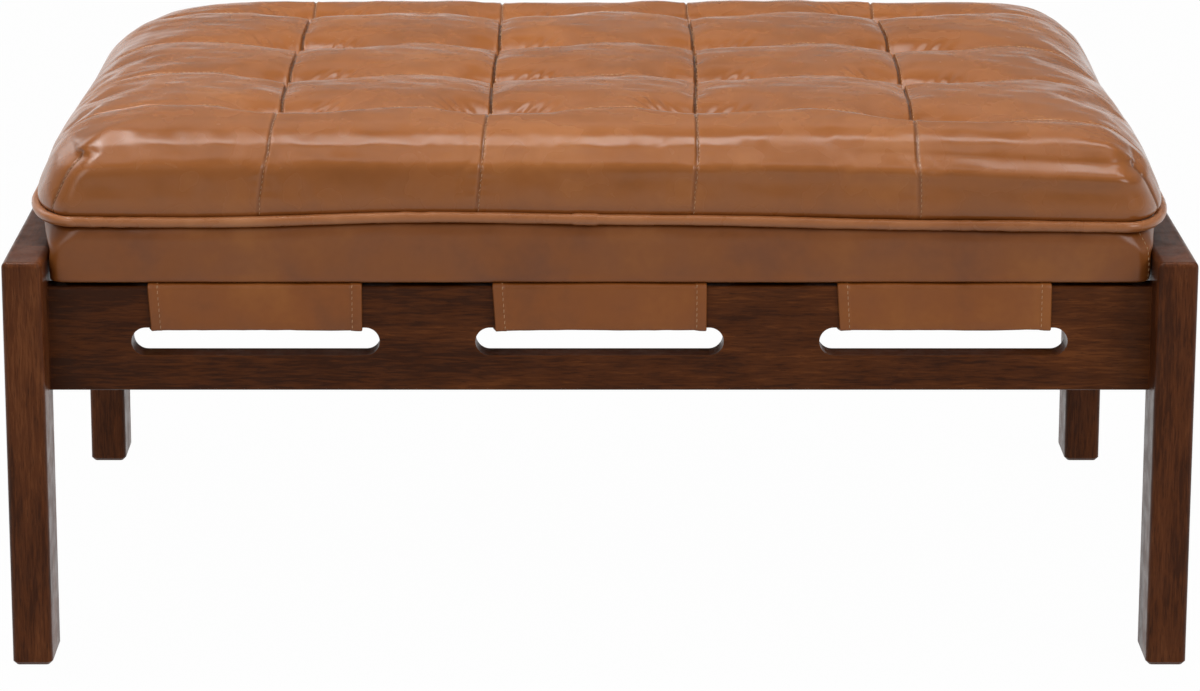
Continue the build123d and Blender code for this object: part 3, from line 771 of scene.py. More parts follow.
@dataclass
class Studio:
    """The photograph's viewpoint, a pale floor and soft light."""

    eye: tuple[float, float, float] = (-0.025, -3.8109, 1.2037)
    pitch_down: float = 13.22
    lens: float = 128.59
    sensor: float = 36.0
    shift: tuple[float, float] = (0.02502, -0.10)
    far_clip: float = 100.0
    floor_size: float = 60.0
    floor_white: float = 0.42
    floor_glow: float = 0.985
    wall_height: float = 3.4
    wall_panels: int = 64
    wall_reach: float = 0.95
    ambient: float = 0.30
    # Name, place, the point that it faces, width and height, and watts of each soft box
    lamps: tuple[tuple, ...] = (
        ("overhead", (0.0, 0.0, 2.1), (0.0, 0.0, 0.4), (2.8, 0.28), 17),
        ("overhead_left", (-0.95, 0.1, 2.05), (-0.5, 0.0, 0.4), (1.0, 0.34), 9.5),
        ("overhead_front", (0.0, -0.72, 2.1), (0.0, -0.2, 0.4), (2.6, 0.4), 4.5),
        ("overhead_back", (0.05, 1.3, 2.0), (0.0, 0.0, 0.4), (2.2, 0.8), 2.0),
        ("front_left", (-2.3, -2.6, 2.4), (0.0, 0.0, 0.25), (2.2, 1.6), 29),
        ("front_right", (2.6, -2.4, 2.3), (0.0, 0.0, 0.25), (2.0, 1.6), 49),
        ("rim_left", (-1.9, 1.6, 1.5), (0.0, 0.0, 0.35), (1.0, 1.2), 6))

    def build(self) -> None:
        """Makes the camera, the floor, the sky and the lamps."""
        scene = bpy.context.scene
        scene.view_settings.view_transform = "Standard"
        scene.camera = self.camera()
        self.floor()
        self.sky()
        for name, place, aim, size, power in self.lamps:
            self.lamp(name, place, aim, size, power)

    def camera(self) -> Piece:
        """The camera at the photograph's viewpoint."""
        data = bpy.data.cameras.new("view")
        data.lens = self.lens
        data.sensor_width = self.sensor
        data.sensor_fit = "HORIZONTAL"
        data.shift_x, data.shift_y = self.shift
        data.clip_end = self.far_clip
        made = bpy.data.objects.new("view", data)
        made.location = self.eye
        made.rotation_euler = (math.radians(90 - self.pitch_down), 0, 0)
        bpy.context.scene.collection.objects.link(made)
        return made

    def floor(self) -> None:
        """A pale floor that keeps a soft shadow, and a low wall far round it."""
        g = Graph("pale_floor")
        tone = self.floor_white
        matt = g.node("BsdfDiffuse", {"Color": (tone, tone, tone, 1)})
        glow = g.node("Emission", {"Color": (1, 1, 1, 1), "Strength": 1.0})
        path = g.node("LightPath")
        seen = g.sum("MAXIMUM", path.outputs["Is Camera Ray"], path.outputs["Is Glossy Ray"])
        seen = g.sum("MAXIMUM", seen, path.outputs["Is Transmission Ray"])
        share = g.sum("MULTIPLY", seen, self.floor_glow)
        mixed = g.node("MixShader", {0: share, 1: matt.outputs[0], 2: glow.outputs[0]})
        g.node("OutputMaterial", {"Surface": mixed.outputs[0]})
        half, panels = self.floor_size / 2, np.arange(self.wall_panels)
        corners = np.array([(-half, -half, 0), (half, -half, 0), (half, half, 0), (-half, half, 0)])
        turns = np.linspace(0, TURN, self.wall_panels + 1)[:-1]
        foot = np.stack([np.cos(turns), np.sin(turns), 0 * turns], 1) * half * self.wall_reach
        wall = np.vstack([foot, foot + (0, 0, self.wall_height)])
        for name, points, faces in (("studio_floor", corners, [[0, 1, 2, 3]]),
                                    ("studio_wall", wall, band_faces([panels, self.wall_panels + panels]))):
            staged = mesh_object(name, points, faces)
            dress(staged, g.material)

    def sky(self) -> None:
        """A soft even fill."""
        world = bpy.data.worlds.new("studio")
        world.use_nodes = True
        tree = world.node_tree
        tree.nodes.clear()
        glow = tree.nodes.new("ShaderNodeBackground")
        glow.inputs["Color"].default_value = (1, 1, 1, 1)
        glow.inputs["Strength"].default_value = self.ambient
        output = tree.nodes.new("ShaderNodeOutputWorld")
        tree.links.new(glow.outputs[0], output.inputs["Surface"])
        bpy.context.scene.world = world

    def lamp(self, name: str, place: Sequence[float], aim: Sequence[float], size: Sequence[float],
             power: float) -> None:
        """Hangs a soft box.

        Args:
            name: the lamp's name.
            place: where it hangs.
            aim: the point that it faces.
            size: its width and height.
            power: its output in watts.
        """
        data = bpy.data.lights.new(name, "AREA")
        data.shape = "RECTANGLE"
        data.size, data.size_y = size
        data.energy = power
        made = bpy.data.objects.new(name, data)
        made.location = place
        made.rotation_euler = (Vector(aim) - Vector(place)).to_track_quat("-Z", "Y").to_euler()
        bpy.context.scene.collection.objects.link(made)


@dataclass
class FrameAndFittings:
    """The timber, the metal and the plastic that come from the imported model."""

    palette: Palette
    named: tuple[tuple[str, str], ...] = (
        ("left_side_rail", "walnut_stain_y"), ("right_side_rail", "walnut_stain_y"),
        ("front_rail", "walnut_stain_x"), ("back_rail", "walnut_stain_x"), ("rail_dowels", "dowel_beech"),
        ("bracket_bolts", "zinc_plate"), ("bracket_washers", "zinc_plate"),
        ("bracket_inserts", "insert_brass"), ("cleat_screws", "zinc_plate"), ("clamp_screws", "zinc_plate"),
        ("slat_screws", "zinc_plate"),
        ("tuft_discs", "disc_plastic"), ("tuft_ties", "tuft_twine"), ("zip_slider", "zip_brass"),
        ("zip_pull", "zip_brass"))
    by_ending: tuple[tuple[str, str], ...] = (
        ("_leg", "leg_stain"), ("_slat", "slat_timber"), ("_cleat", "slat_timber"),
        ("_bracket", "black_steel"), ("_strap_clamp", "black_steel"), ("_glide", "glide_nylon"))

    def build(self) -> None:
        """Gives each node its finish, the timber's with its grain along it."""
        finishes = dict(self.named)
        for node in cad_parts:
            for ending, finish in self.by_ending:
                if node.endswith(ending):
                    finishes[node] = finish
        for node, finish in finishes.items():
            dress(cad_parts[node], self.palette[finish])


@dataclass(frozen=True)
class CushionPlan:
    """The cushion's outline at its piping, its seams, and how it sags on the frame."""

    half_length: float = 482.5 * MM
    half_depth: float = 305.5 * MM
    corner: tuple[float, float] = (40 * MM, 92 * MM)
    piping_height: float = 386 * MM
    shoulder_insets: tuple[float, float] = (29 * MM, 15 * MM)
    shoulder_rise: float = 58 * MM
    shoulder_corner: tuple[float, float] = (38 * MM, 74 * MM)
    straight_hold: float = 300 * MM
    seam_turn: tuple[float, float] = (0.5, 0.8660254)
    right_front_corner: tuple[float, float] = (25 * MM, 44 * MM)
    right_front_turn: tuple[float, float] = (0.82, 0.5724)
    column_seams: tuple[float, ...] = (-275.7 * MM, -91.9 * MM, 91.9 * MM, 275.7 * MM)
    row_seams: tuple[float, ...] = (-202.05 * MM, -67.35 * MM, 67.35 * MM, 202.05 * MM)
    left_piping_dip: float = 2.5 * MM
    right_piping_dip: float = 5.0 * MM
    right_sag: float = 4.5 * MM
    # Half the length, half the depth and the corner radius of the foam and the lining
    base: tuple[float, float, float] = (446 * MM, 280 * MM, 30 * MM)

    @property
    def shoulder(self) -> tuple[float, float]:
        """Half the top's length and half its depth, where the walls begin."""
        return self.half_length - self.shoulder_insets[0], self.half_depth - self.shoulder_insets[1]

    def shoulder_gaps(self, nominal: Array) -> tuple[Array, Array]:
        """How far each point lies from the top's end and from its front or back."""
        return self.shoulder[0] - np.abs(nominal[:, 0]), self.shoulder[1] - np.abs(nominal[:, 1])

    @staticmethod
    def tight_share(nominal: Array) -> Array:
        """How far each point belongs to the right front corner, which is tighter than the others."""
        return (step(nominal[:, 0], 0.08, 0.41) * step(-nominal[:, 1], 0.0, 0.20))[:, None]

    def shoulder_corners(self, nominal: Array) -> Array:
        """The size of the shoulder's corner at each point."""
        tight = self.tight_share(nominal)
        return tight * np.asarray(self.right_front_corner) + (1 - tight) * np.asarray(self.shoulder_corner)

    def place(self, nominal: Array, half_length: float, half_depth: float, corner: Sequence[float]) -> Array:
        """Maps points of the shoulder's plain rectangle to a rounded outline of another size.

        Args:
            nominal: X and Y in the plain rectangle, a point to a row.
            half_length: the outline's half length.
            half_depth: its half depth.
            corner: how much of its length and of its depth a corner takes.

        Returns:
            X and Y in the rounded outline.
        """
        corner = np.broadcast_to(np.asarray(corner, float), nominal.shape)
        straight, share = [], []
        for axis, (reach, nominal_reach) in enumerate(zip((half_length, half_depth), self.shoulder)):
            distance = np.abs(nominal[:, axis])
            end = nominal_reach - self.shoulder_corner[axis]
            hold = min(self.straight_hold, 0.6 * end)
            held = np.minimum(distance, hold)
            rest = np.clip((distance - hold) / (end - hold), 0, 1)
            straight.append(held + rest * (reach - corner[:, axis] - hold))
            share.append(np.clip((distance - end) / self.shoulder_corner[axis], 0, 1))
        tight = self.tight_share(nominal)
        turn = tight * np.asarray(self.right_front_turn) + (1 - tight) * np.asarray(self.seam_turn)
        turn_x, turn_y = turn.T
        x = straight[0] + corner[:, 0] * share[0] * np.sqrt(1 - (1 - turn_x**2) * share[1] ** 2)
        y = straight[1] + corner[:, 1] * share[1] * np.sqrt(1 - (1 - turn_y**2) * share[0] ** 2)
        return np.stack([np.sign(nominal[:, 0]) * x, np.sign(nominal[:, 1]) * y], 1)

    def outline(self, end_inset: float, side_inset: float, count: int, corner: Sequence[float]) -> Array:
        """An even ring of points round the cushion, from the middle of the front and to the right.

        Args:
            end_inset: how far its ends stand in from the piping.
            side_inset: how far its front and back stand in from the piping.
            count: number of points.
            corner: how much of its length and of its depth a corner takes.

        Returns:
            X and Y of each point.
        """
        half_x, half_y = self.half_length - end_inset, self.half_depth - side_inset
        turns = np.linspace(0, math.pi / 2, 24)
        line = [np.array([[0.0, -half_y]])]
        for side_x, side_y, quarter in ((1, -1, -1), (1, 1, 0), (-1, 1, 1), (-1, -1, 2)):
            start = quarter * math.pi / 2
            middle = np.array([side_x * (half_x - corner[0]), side_y * (half_y - corner[1])])
            arc = np.stack([corner[0] * np.cos(start + turns), corner[1] * np.sin(start + turns)], 1)
            line.append(middle + arc)
        return resample(np.vstack(line + [line[0]]), count, closed=True)

    def lean(self, y: Array) -> Array:
        """How much higher the top lies towards the back."""
        return 3.0 * MM * np.clip(y / 0.28, -1, 0) + 7.5 * MM * step(y, -0.05, 0.26)

    def dip(self, x: Array, y: Array) -> Array:
        """How far the piping hangs below its level: both front corners dip, the right one more.

        Args:
            x: place along the table.
            y: place across it.

        Returns:
            The dip, downward positive.
        """
        front = step(-y, 0.10, 0.29)
        left = self.left_piping_dip * step(-x, 0.14, 0.34)
        right = self.right_piping_dip * step(x, 0.06, 0.30)
        return front * (left + right) + 1.2 * MM * np.sin(x * 14 + 0.6) * front + self.sag(x, y) * 0.35

    def sag(self, x: Array, y: Array) -> Array:
        """How far the front of the cushion's right end sits below its left end."""
        tilt = self.right_sag * step(x, 0.10, 0.44) - 0.4 * self.right_sag * step(-x, 0.2, 0.46)
        return tilt * (1 - step(y, -0.10, 0.20))

    def back_draw(self, points: Array) -> Array:
        """How far the walls' tops are drawn in at the back of each end.

        Args:
            points: the cover's points.

        Returns:
            How far each one moves along X.
        """
        y = points[:, 1]
        left = 10.5 * MM * step(y, -0.16, 0.14)
        right = 2.0 * MM * step(y, 0.04, 0.24) + 11 * MM * bell(y - 0.11, 0.12)
        reach = np.where(points[:, 0] < 0, left, right) * step(np.abs(points[:, 0]), 0.32, 0.46)
        return -np.sign(points[:, 0]) * reach


@dataclass
class TuftedCover:
    """The biscuit-tufted top: five by five puffed panels over rounded, darted walls."""

    plan: CushionPlan
    palette: Palette
    # Height above the piping, then the inset of the front and back and that of the ends, in millimetres
    wall_profile: tuple[tuple[float, float, float], ...] = (
        (58.0, 15.0, 29.0), (52.5, 9.7, 23.2), (47.0, 5.5, 18.0), (42.0, 3.6, 14.6), (35.0, 2.2, 10.8),
        (28.0, 1.0, 7.6), (21.0, -0.1, 4.6), (14.5, -0.7, 2.3), (8.0, -0.1, 1.2), (3.8, 2.0, 2.4),
        (1.2, 4.6, 4.8))
    # Inset from the piping and height above it, in millimetres: over the ends, then over the front and back
    end_crown: tuple[tuple[float, float], ...] = (
        (29.0, 58.0), (36.0, 62.6), (46.0, 67.4), (58.0, 71.4), (75.0, 74.8), (100.0, 77.4), (140.0, 79.2),
        (200.0, 79.7), (500.0, 79.8))
    side_crown: tuple[tuple[float, float], ...] = (
        (15.0, 58.0), (20.0, 62.6), (30.0, 69.0), (42.0, 73.8), (55.0, 76.6), (75.0, 78.4), (100.0, 79.2),
        (150.0, 79.5), (310.0, 79.8))
    # How far the shoulder falls at the front left, front right, back left and back right corner
    corner_falls: tuple[float, float, float, float] = (4.0 * MM, 7.5 * MM, 12.0 * MM, 2.5 * MM)
    # Cells along and across a panel between two seams, and those of an outer panel
    inner_cells: tuple[int, int] = (40, 30)
    outer_cells: tuple[int, int] = (32, 20)
    wall_rows: int = 15
    right_shoulder: float = 2.6 * MM
    pleat_depth: float = 4.2 * MM
    tuft_depth: float = 23.5 * MM
    back_tufts_deeper: float = 1.0
    # How far a dish runs to the left of its tuft, to the right, to the front and to the back
    dish: tuple[float, float, float, float] = (36 * MM, 62 * MM, 14 * MM, 21 * MM)
    # Depth and width of the folds at the seams, on the top and then on the walls
    column_fold: tuple[float, float] = (6.0 * MM, 9.0 * MM)
    row_fold: tuple[float, float] = (3.4 * MM, 11.0 * MM)
    wall_fold: tuple[float, float] = (0.9 * MM, 3.5 * MM)
    # Powers by which a dish fades along and across the table
    dish_fades: tuple[float, float] = (2.1, 1.35)
    # How far past the last seams the top's folds turn into the walls', and how far past the ends the rows' do
    fold_change: tuple[float, float] = (0.022, 0.02)
    # Depth and width of a dart's hollow on the wall, then height and width of the swelling above it
    dart_hollow: tuple[float, float] = (2.2 * MM, 9 * MM)
    dart_swell: tuple[float, float] = (2.6 * MM, 13 * MM)
    # Depth, wavelength and seed of the top's unevenness, broad and then fine
    uneven: tuple[tuple[float, float, int], ...] = ((0.7 * MM, 0.16, 3), (0.35 * MM, 0.055, 4))
    fine_uneven: tuple[float, float, int] = (0.22 * MM, 0.022, 11)
    # Depth and width of the slits at the seams and darts; the column seams' are deeper between the rows' ends
    column_slit: tuple[float, float] = (1.0 * MM, 0.95 * MM)
    column_slit_deeper: float = 2.6 * MM
    row_slit: tuple[float, float] = (0.6 * MM, 0.8 * MM)
    dart_slit: tuple[float, float] = (1.3 * MM, 1.1 * MM)
    # Distance from the seam and width of the rolled edges
    column_roll: tuple[float, float] = (2.6 * MM, 1.5 * MM)
    row_roll: tuple[float, float] = (2.0 * MM, 1.2 * MM)
    row_roll_height: float = 0.6 * MM
    # Ranges of a pleat's place, spread and wavelength in millimetres, its lean and its phase
    pleat_ranges: tuple[tuple[float, float], ...] = ((26, 34), (14, 19), (12, 16), (0.7, 1.1), (0, 6))
    # Chance of a pleat to the right and to the left of a tuft
    pleat_chances: tuple[float, float] = (0.95, 0.45)
    # How far each column seam strays from its nominal place, in millimetres, at the stations below
    drift_stations: tuple[float, ...] = (-350.0, -295.0, -202.0, -67.0, 67.0, 202.0, 290.0, 350.0)
    drift: tuple[tuple[float, ...], ...] = (
        (-7.9, -3.7, 1.8, -0.4, 2.0, 6.1, 6.8, 6.0), (-12.0, -6.9, -1.5, -2.0, 1.5, 1.3, 2.2, 2.0),
        (-14.8, -10.0, -9.7, -4.7, -3.1, -5.0, -5.1, -5.0),
        (-11.9, -10.6, -8.5, -5.9, -5.9, -11.8, -11.7, -11.0))
    # Share held against the pressure at the seams, at the darts, along the front and everywhere
    holds: tuple[float, float, float, float] = (0.45, 0.6, 0.4, 0.10)
    pressure: float = 4.0
    frames: int = 20
    movement_cap: float = 5 * MM

    def build(self) -> list[Piece]:
        """Shapes, inflates, details, stitches and dresses the cover.

        Returns:
            The cover and its stitches.
        """
        self.lay_out()
        piece = mesh_object("tufted_cover", self.points, self.faces)
        for name, values in self.marks.items():
            set_attribute(piece, name, values)
        self.inflate(piece)
        smooth = piece.modifiers.new("smooth", "SUBSURF")
        smooth.levels = smooth.render_levels = 1
        apply_modifiers(piece)
        stitches = self.detail(piece)
        stand_for(piece, self.palette["cover_leather"], "cushion", "top_cover")
        return [piece, stitches.build("cover_stitches", self.palette["sewing_thread"], "cushion")]

    @staticmethod
    def stations(seams: Sequence[float], reach: float, inner: int, outer: int) -> Array:
        """Grid lines along one side of the top, closer together at the seams.

        Args:
            seams: places of the seams.
            reach: half the side.
            inner: cells in a panel between two seams.
            outer: cells in an outer panel.

        Returns:
            The places of the lines.
        """
        stops = [-reach, *seams, reach]
        lines = [np.array([-reach])]
        for number, (start, end) in enumerate(zip(stops, stops[1:])):
            even = np.linspace(0, 1, (outer if number in (0, len(stops) - 2) else inner) + 1)
            gathered = 0.35 * even + 0.65 * (0.5 - 0.5 * np.cos(math.pi * even))
            lines.append(start + (end - start) * gathered[1:])
        return np.concatenate(lines)

    def lay_out(self) -> None:
        """Works out every point of the cover, its faces and the marks that later steps read."""
        plan = self.plan
        self.lines = [self.stations(seams, reach, inner, outer) for seams, reach, inner, outer in zip(
            (plan.column_seams, plan.row_seams), plan.shoulder, self.inner_cells, self.outer_cells)]
        self.nx, self.ny = map(len, self.lines)
        mesh_y, mesh_x = np.meshgrid(self.lines[1], self.lines[0], indexing="ij")
        nominal = np.stack([mesh_x.ravel(), mesh_y.ravel()], 1)
        self.rim = rim_numbers(self.nx, self.ny)
        rings, unfolded = self.wall_rings(nominal[self.rim])
        base = np.vstack([self.top_points(nominal), rings])
        count, start = len(self.rim), self.nx * self.ny
        bands = [self.rim] + [start + k * count + np.arange(count) for k in range(self.wall_rows)]
        self.faces = grid_faces(self.ny, self.nx) + band_faces(bands)
        across = np.vstack([nominal, unfolded])
        self.drop = np.concatenate([np.zeros(start), np.repeat(self.ring_share, count)])
        self.marks = {"across": across[:, 0], "along": across[:, 1],
                      "dart": self.dart_distance(nominal, nominal[self.rim]), "rim_share": self.drop}
        shaped = self.tuft(base, across, self.marks["dart"])
        shaped[:, 0] += self.strayed(across)
        x, y, on_top = shaped[:, 0], shaped[:, 1], 1 - self.drop
        shaped[:, 2] -= self.drop * plan.dip(x, y) + on_top * plan.sag(x, y)
        shaped[:, 2] += on_top * plan.lean(y)
        shaped[:, 0] += on_top * plan.back_draw(shaped)
        self.points = shaped

    def corner_drop(self, nominal: Array) -> Array:
        """How much lower the shoulder lies near the corners.

        Args:
            nominal: places in the plain rectangle.

        Returns:
            The drop at each.
        """
        gap_x, gap_y = self.plan.shoulder_gaps(nominal)
        corner = (nominal[:, 0] > 0).astype(int) + 2 * (nominal[:, 1] > 0)
        reach = np.where(corner == 1, 125 * MM, 75 * MM)
        near = np.exp(-((gap_x / reach) ** 2) - (gap_y / (75 * MM)) ** 2)
        return np.asarray(self.corner_falls)[corner] * near

    def top_points(self, nominal: Array) -> Array:
        """The crowned top before it is tufted.

        Args:
            nominal: its points in the plain rectangle.

        Returns:
            The points in space.
        """
        plan = self.plan
        sheet = plan.place(nominal, *plan.shoulder, plan.shoulder_corners(nominal))
        drops, highest = [], self.side_crown[-1][1] * MM
        for inset, reach, distance, profile in zip(plan.shoulder_insets, plan.shoulder, np.abs(nominal).T,
                                                   (self.end_crown, self.side_crown)):
            crown = smooth_line(profile, 300) * MM
            drops.append(highest - np.interp(inset + reach - distance, crown[:, 0], crown[:, 1]))
        power = 5
        fall = (drops[0] ** power + drops[1] ** power) ** (1 / power)
        fall = np.minimum(fall, highest - plan.shoulder_rise)
        height = plan.piping_height + highest - fall - self.corner_drop(nominal)
        return np.column_stack([sheet, height])

    def wall_rings(self, rim: Array) -> tuple[Array, Array]:
        """The rings of the walls and where each point would lie on the unfolded cover.

        Args:
            rim: the plain places of the top's border.

        Returns:
            The points in space, and their unfolded X and Y.
        """
        plan = self.plan
        profile = smooth_line(self.wall_profile, self.wall_rows + 1) * MM
        run = travelled(profile[:, :2])
        self.ring_share = run[1:] / run[-1]
        rings, unfolded = [], []
        beyond = np.sign(rim) * np.isclose(np.abs(rim), plan.shoulder)
        for (rise, side, end), distance, share in zip(profile[1:], run[1:], self.ring_share):
            corner = plan.shoulder_corners(rim) * (1 - share) + np.asarray(plan.corner) * share
            shoulder = (rim[:, 1] < 0) * bell(rise - 46 * MM, 8 * MM)
            side = side - self.right_shoulder * step(rim[:, 0], -0.10, 0.30) * shoulder
            outline = plan.place(rim, plan.half_length - end, plan.half_depth - side, corner)
            height = plan.piping_height + rise - self.corner_drop(rim) * (1 - share)
            rings.append(np.column_stack([outline, height]))
            unfolded.append(rim + beyond * distance)
        return np.vstack(rings), np.vstack(unfolded)

    def dart_distance(self, nominal: Array, rim: Array) -> Array:
        """How far each point lies from the nearest corner dart.

        Args:
            nominal: the top's points.
            rim: the border's points.

        Returns:
            The distance, for the top and then for each wall ring.
        """
        on_wall = sum(self.plan.shoulder_gaps(rim)) * 0.8
        return np.concatenate([np.hypot(*self.plan.shoulder_gaps(nominal)), np.tile(on_wall, self.wall_rows)])

    def strayed(self, across: Array) -> Array:
        """How far each point is carried sideways by its column seam's drift.

        Args:
            across: the unfolded places.

        Returns:
            The way along X at each.
        """
        reach = self.plan.shoulder[0]
        edges = np.array([-reach, *self.plan.column_seams, reach])
        stations = np.asarray(self.drift_stations) * MM
        at_seams = [np.interp(across[:, 1], stations, np.asarray(row) * MM) for row in self.drift]
        table = np.stack([np.zeros(len(across)), *at_seams, np.zeros(len(across))], 1)
        place = np.clip(np.abs(across[:, 0]), 0, reach) * np.sign(across[:, 0])
        panel = np.clip(np.searchsorted(edges, place) - 1, 0, len(edges) - 2)
        share = (place - edges[panel]) / (edges[panel + 1] - edges[panel])
        rows = np.arange(len(across))
        return table[rows, panel] * (1 - share) + table[rows, panel + 1] * share

    def seam_offsets(self, across: Array) -> list[Array]:
        """How far right of the nearest column seam and behind the nearest row seam each point lies.

        Args:
            across: the unfolded places.

        Returns:
            The two offsets.
        """
        found = []
        for axis, seams in enumerate((self.plan.column_seams, self.plan.row_seams)):
            offsets = across[:, axis : axis + 1] - np.asarray(seams)
            found.append(np.take_along_axis(offsets, np.abs(offsets).argmin(1)[:, None], 1)[:, 0])
        return found

    def tuft(self, base: Array, across: Array, dart: Array) -> Array:
        """Pulls the cover down at its tufts and seams.

        Args:
            base: the smooth cover.
            across: its unfolded places.
            dart: its distances from the darts.

        Returns:
            The tufted points.
        """
        plan = self.plan
        aside, behind = self.seam_offsets(across)
        columns, rows = np.abs(aside), np.abs(behind)
        end_x, end_y = plan.column_seams[-1], plan.row_seams[-1]
        left, right, front, back = self.dish
        reach_x, reach_y = np.where(aside > 0, right, left), np.where(behind > 0, back, front)
        deepest = self.tuft_depth * (1 + self.back_tufts_deeper * np.clip(across[:, 1] + end_y, 0, 1))
        fade_x, fade_y = self.dish_fades
        depths = [deepest * np.exp(-((columns / reach_x) ** fade_x) - (rows / reach_y) ** fade_y)]
        past_x, past_y = np.abs(across[:, 0]), np.abs(across[:, 1])
        change, past_end = self.fold_change
        past_columns = step(past_y, end_y, end_y + change)
        past_rows = step(past_x, end_x, end_x + change) * step(past_x, end_x, plan.shoulder[0] + past_end)
        folds = (columns, self.column_fold, past_columns), (rows, self.row_fold, past_rows)
        for gap, fold, outside in folds:
            depth, width = [top * (1 - outside) + wall * outside for top, wall in zip(fold, self.wall_fold)]
            depths.append(depth * bell(gap, width, 1.1))
        power = 2.2
        sunk = sum(depth**power for depth in depths) ** (1 / power)
        on_wall = np.arange(len(base)) >= self.nx * self.ny
        depth, width = self.dart_hollow
        sunk += depth * bell(dart, width, 1) * on_wall * (1 - self.drop**4)
        sunk *= 1 - 0.7 * self.drop**5
        height, width = self.dart_swell
        sunk -= height * bell(dart, width) * ~on_wall * step(dart, 0.0, 0.004)
        uneven = ripples(base, *self.uneven)
        uneven *= (1 - 0.7 * step(-across[:, 1], end_y, end_y + 0.04)) * (1 - self.drop)
        return base - point_normals(base, self.faces) * (sunk + uneven)[:, None]

    def inflate(self, piece: Piece) -> None:
        """Blows the cover up against its tufts, seams and piping, as a sewn cover on foam.

        Args:
            piece: the cover, whose points move.
        """
        before = get_points(piece)
        across = np.stack([self.marks["across"], self.marks["along"]], 1)
        columns, rows = map(np.abs, self.seam_offsets(across))
        at_seams, at_darts, at_front, everywhere = self.holds
        seams = np.maximum(bell(columns, 2 * MM), bell(rows, 2 * MM)) * at_seams
        tufts = np.exp(-((columns**2 + rows**2) / (6 * MM) ** 2))
        darts = bell(self.marks["dart"], 3 * MM, 1) * at_darts
        front = at_front * step(-self.marks["along"], 0.225, 0.25)
        hold = np.maximum.reduce([seams, tufts, front, self.drop**4, darts, np.full(len(seams), everywhere)])
        group = piece.vertex_groups.new(name="held")
        for number, weight in enumerate(hold):
            group.add([number], float(min(weight, 1.0)), "REPLACE")
        cloth = piece.modifiers.new("inflate", "CLOTH")
        stuff = {"quality": 6, "mass": 0.35, "tension_stiffness": 30, "compression_stiffness": 30,
                 "shear_stiffness": 18, "bending_stiffness": 14, "use_pressure": True,
                 "uniform_pressure_force": self.pressure, "vertex_group_mass": "held", "pin_stiffness": 1.0,
                 "shrink_min": -0.004}
        for setting, value in stuff.items():
            setattr(cloth.settings, setting, value)
        cloth.settings.effector_weights.gravity = 0
        cloth.collision_settings.use_collision = False
        cloth.point_cache.frame_start, cloth.point_cache.frame_end = 1, self.frames
        for number in range(1, self.frames + 1):
            bpy.context.scene.frame_set(number)
        apply_modifiers(piece)
        bpy.context.scene.frame_set(1)
        moved = get_points(piece) - before
        length = np.linalg.norm(moved, axis=1)
        capped = np.minimum(length, self.movement_cap) / np.maximum(length, 1e-9)
        set_points(piece, before + moved * capped[:, None])
        piece.vertex_groups.clear()
        log.info("cover inflated, largest movement %.1f mm", length.max() / MM)

    def detail(self, piece: Piece) -> Stitching:
        """Cuts the seam slits, raises their rolled edges, adds pleats and puckers, and sews the seams.

        Args:
            piece: the subdivided cover.

        Returns:
            The stitching of every seam.
        """
        points, normals = get_points(piece), get_normals(piece)
        chains = {name: points[numbers] for name, numbers in self.chains().items()}
        across = np.stack([get_attribute(piece, "across"), get_attribute(piece, "along")], 1)
        dart, rim = get_attribute(piece, "dart"), get_attribute(piece, "rim_share")
        columns, rows = map(np.abs, self.seam_offsets(across))
        end_y = self.plan.row_seams[-1]
        between = step(np.abs(across[:, 1]), end_y + 0.02, end_y)
        depth, width = self.column_slit
        slits = [(depth + self.column_slit_deeper * between) * bell(columns, width)]
        slits.append(self.row_slit[0] * bell(rows, self.row_slit[1]))
        slits.append(self.dart_slit[0] * bell(dart, self.dart_slit[1]) * step(rim, 0.0, 0.1))
        roll = (0.35 + 0.55 * between) * MM * bell(columns - self.column_roll[0], self.column_roll[1])
        roll += self.row_roll_height * bell(rows - self.row_roll[0], self.row_roll[1])
        relief = (roll - np.maximum.reduce(slits)) * (1 - rim**6)
        relief += self.pleats(across) + self.puckers(across, columns, rows)
        relief += ripples(points, self.fine_uneven) * (1 - 0.8 * rim)
        set_points(piece, points + normals * relief[:, None])
        self.mark_tones(piece, columns, rows, dart, rim)
        return self.sew(piece, chains)

    def pleats(self, across: Array) -> Array:
        """The relief of the small folds that climb out of each dish.

        Args:
            across: the unfolded places.

        Returns:
            One height for each point.
        """
        draw = np.random.default_rng(7)
        aside, behind = self.seam_offsets(across)
        nearest_x, nearest_y = across[:, 0] - aside, across[:, 1] - behind
        out, back = np.abs(aside), behind
        height, phase = np.zeros(len(across)), np.zeros(len(across))
        for seam_x in self.plan.column_seams:
            for seam_y in self.plan.row_seams:
                at_tuft = (np.abs(nearest_x - seam_x) < 1e-4) & (np.abs(nearest_y - seam_y) < 1e-4)
                for side, chance in zip((1, -1), self.pleat_chances):
                    own = at_tuft & (aside * side > 0)
                    strength = draw.uniform(0.55, 1.0) * (draw.random() < chance)
                    drawn = [draw.uniform(*limits) for limits in self.pleat_ranges]
                    middle, spread, width, lean, start = drawn
                    bend = out - lean * back - 3 * MM * np.sin(back / (8 * MM))
                    fan = bell(out - middle * MM - 0.5 * back, spread * MM) * step(back, 1 * MM, 5 * MM)
                    fan = fan * (1 - step(back, 16 * MM, 32 * MM))
                    height = np.where(own, strength * fan, height)
                    phase = np.where(own, TURN * bend / (width * MM) + start, phase)
        return 0.5 * self.pleat_depth * height * np.cos(phase)

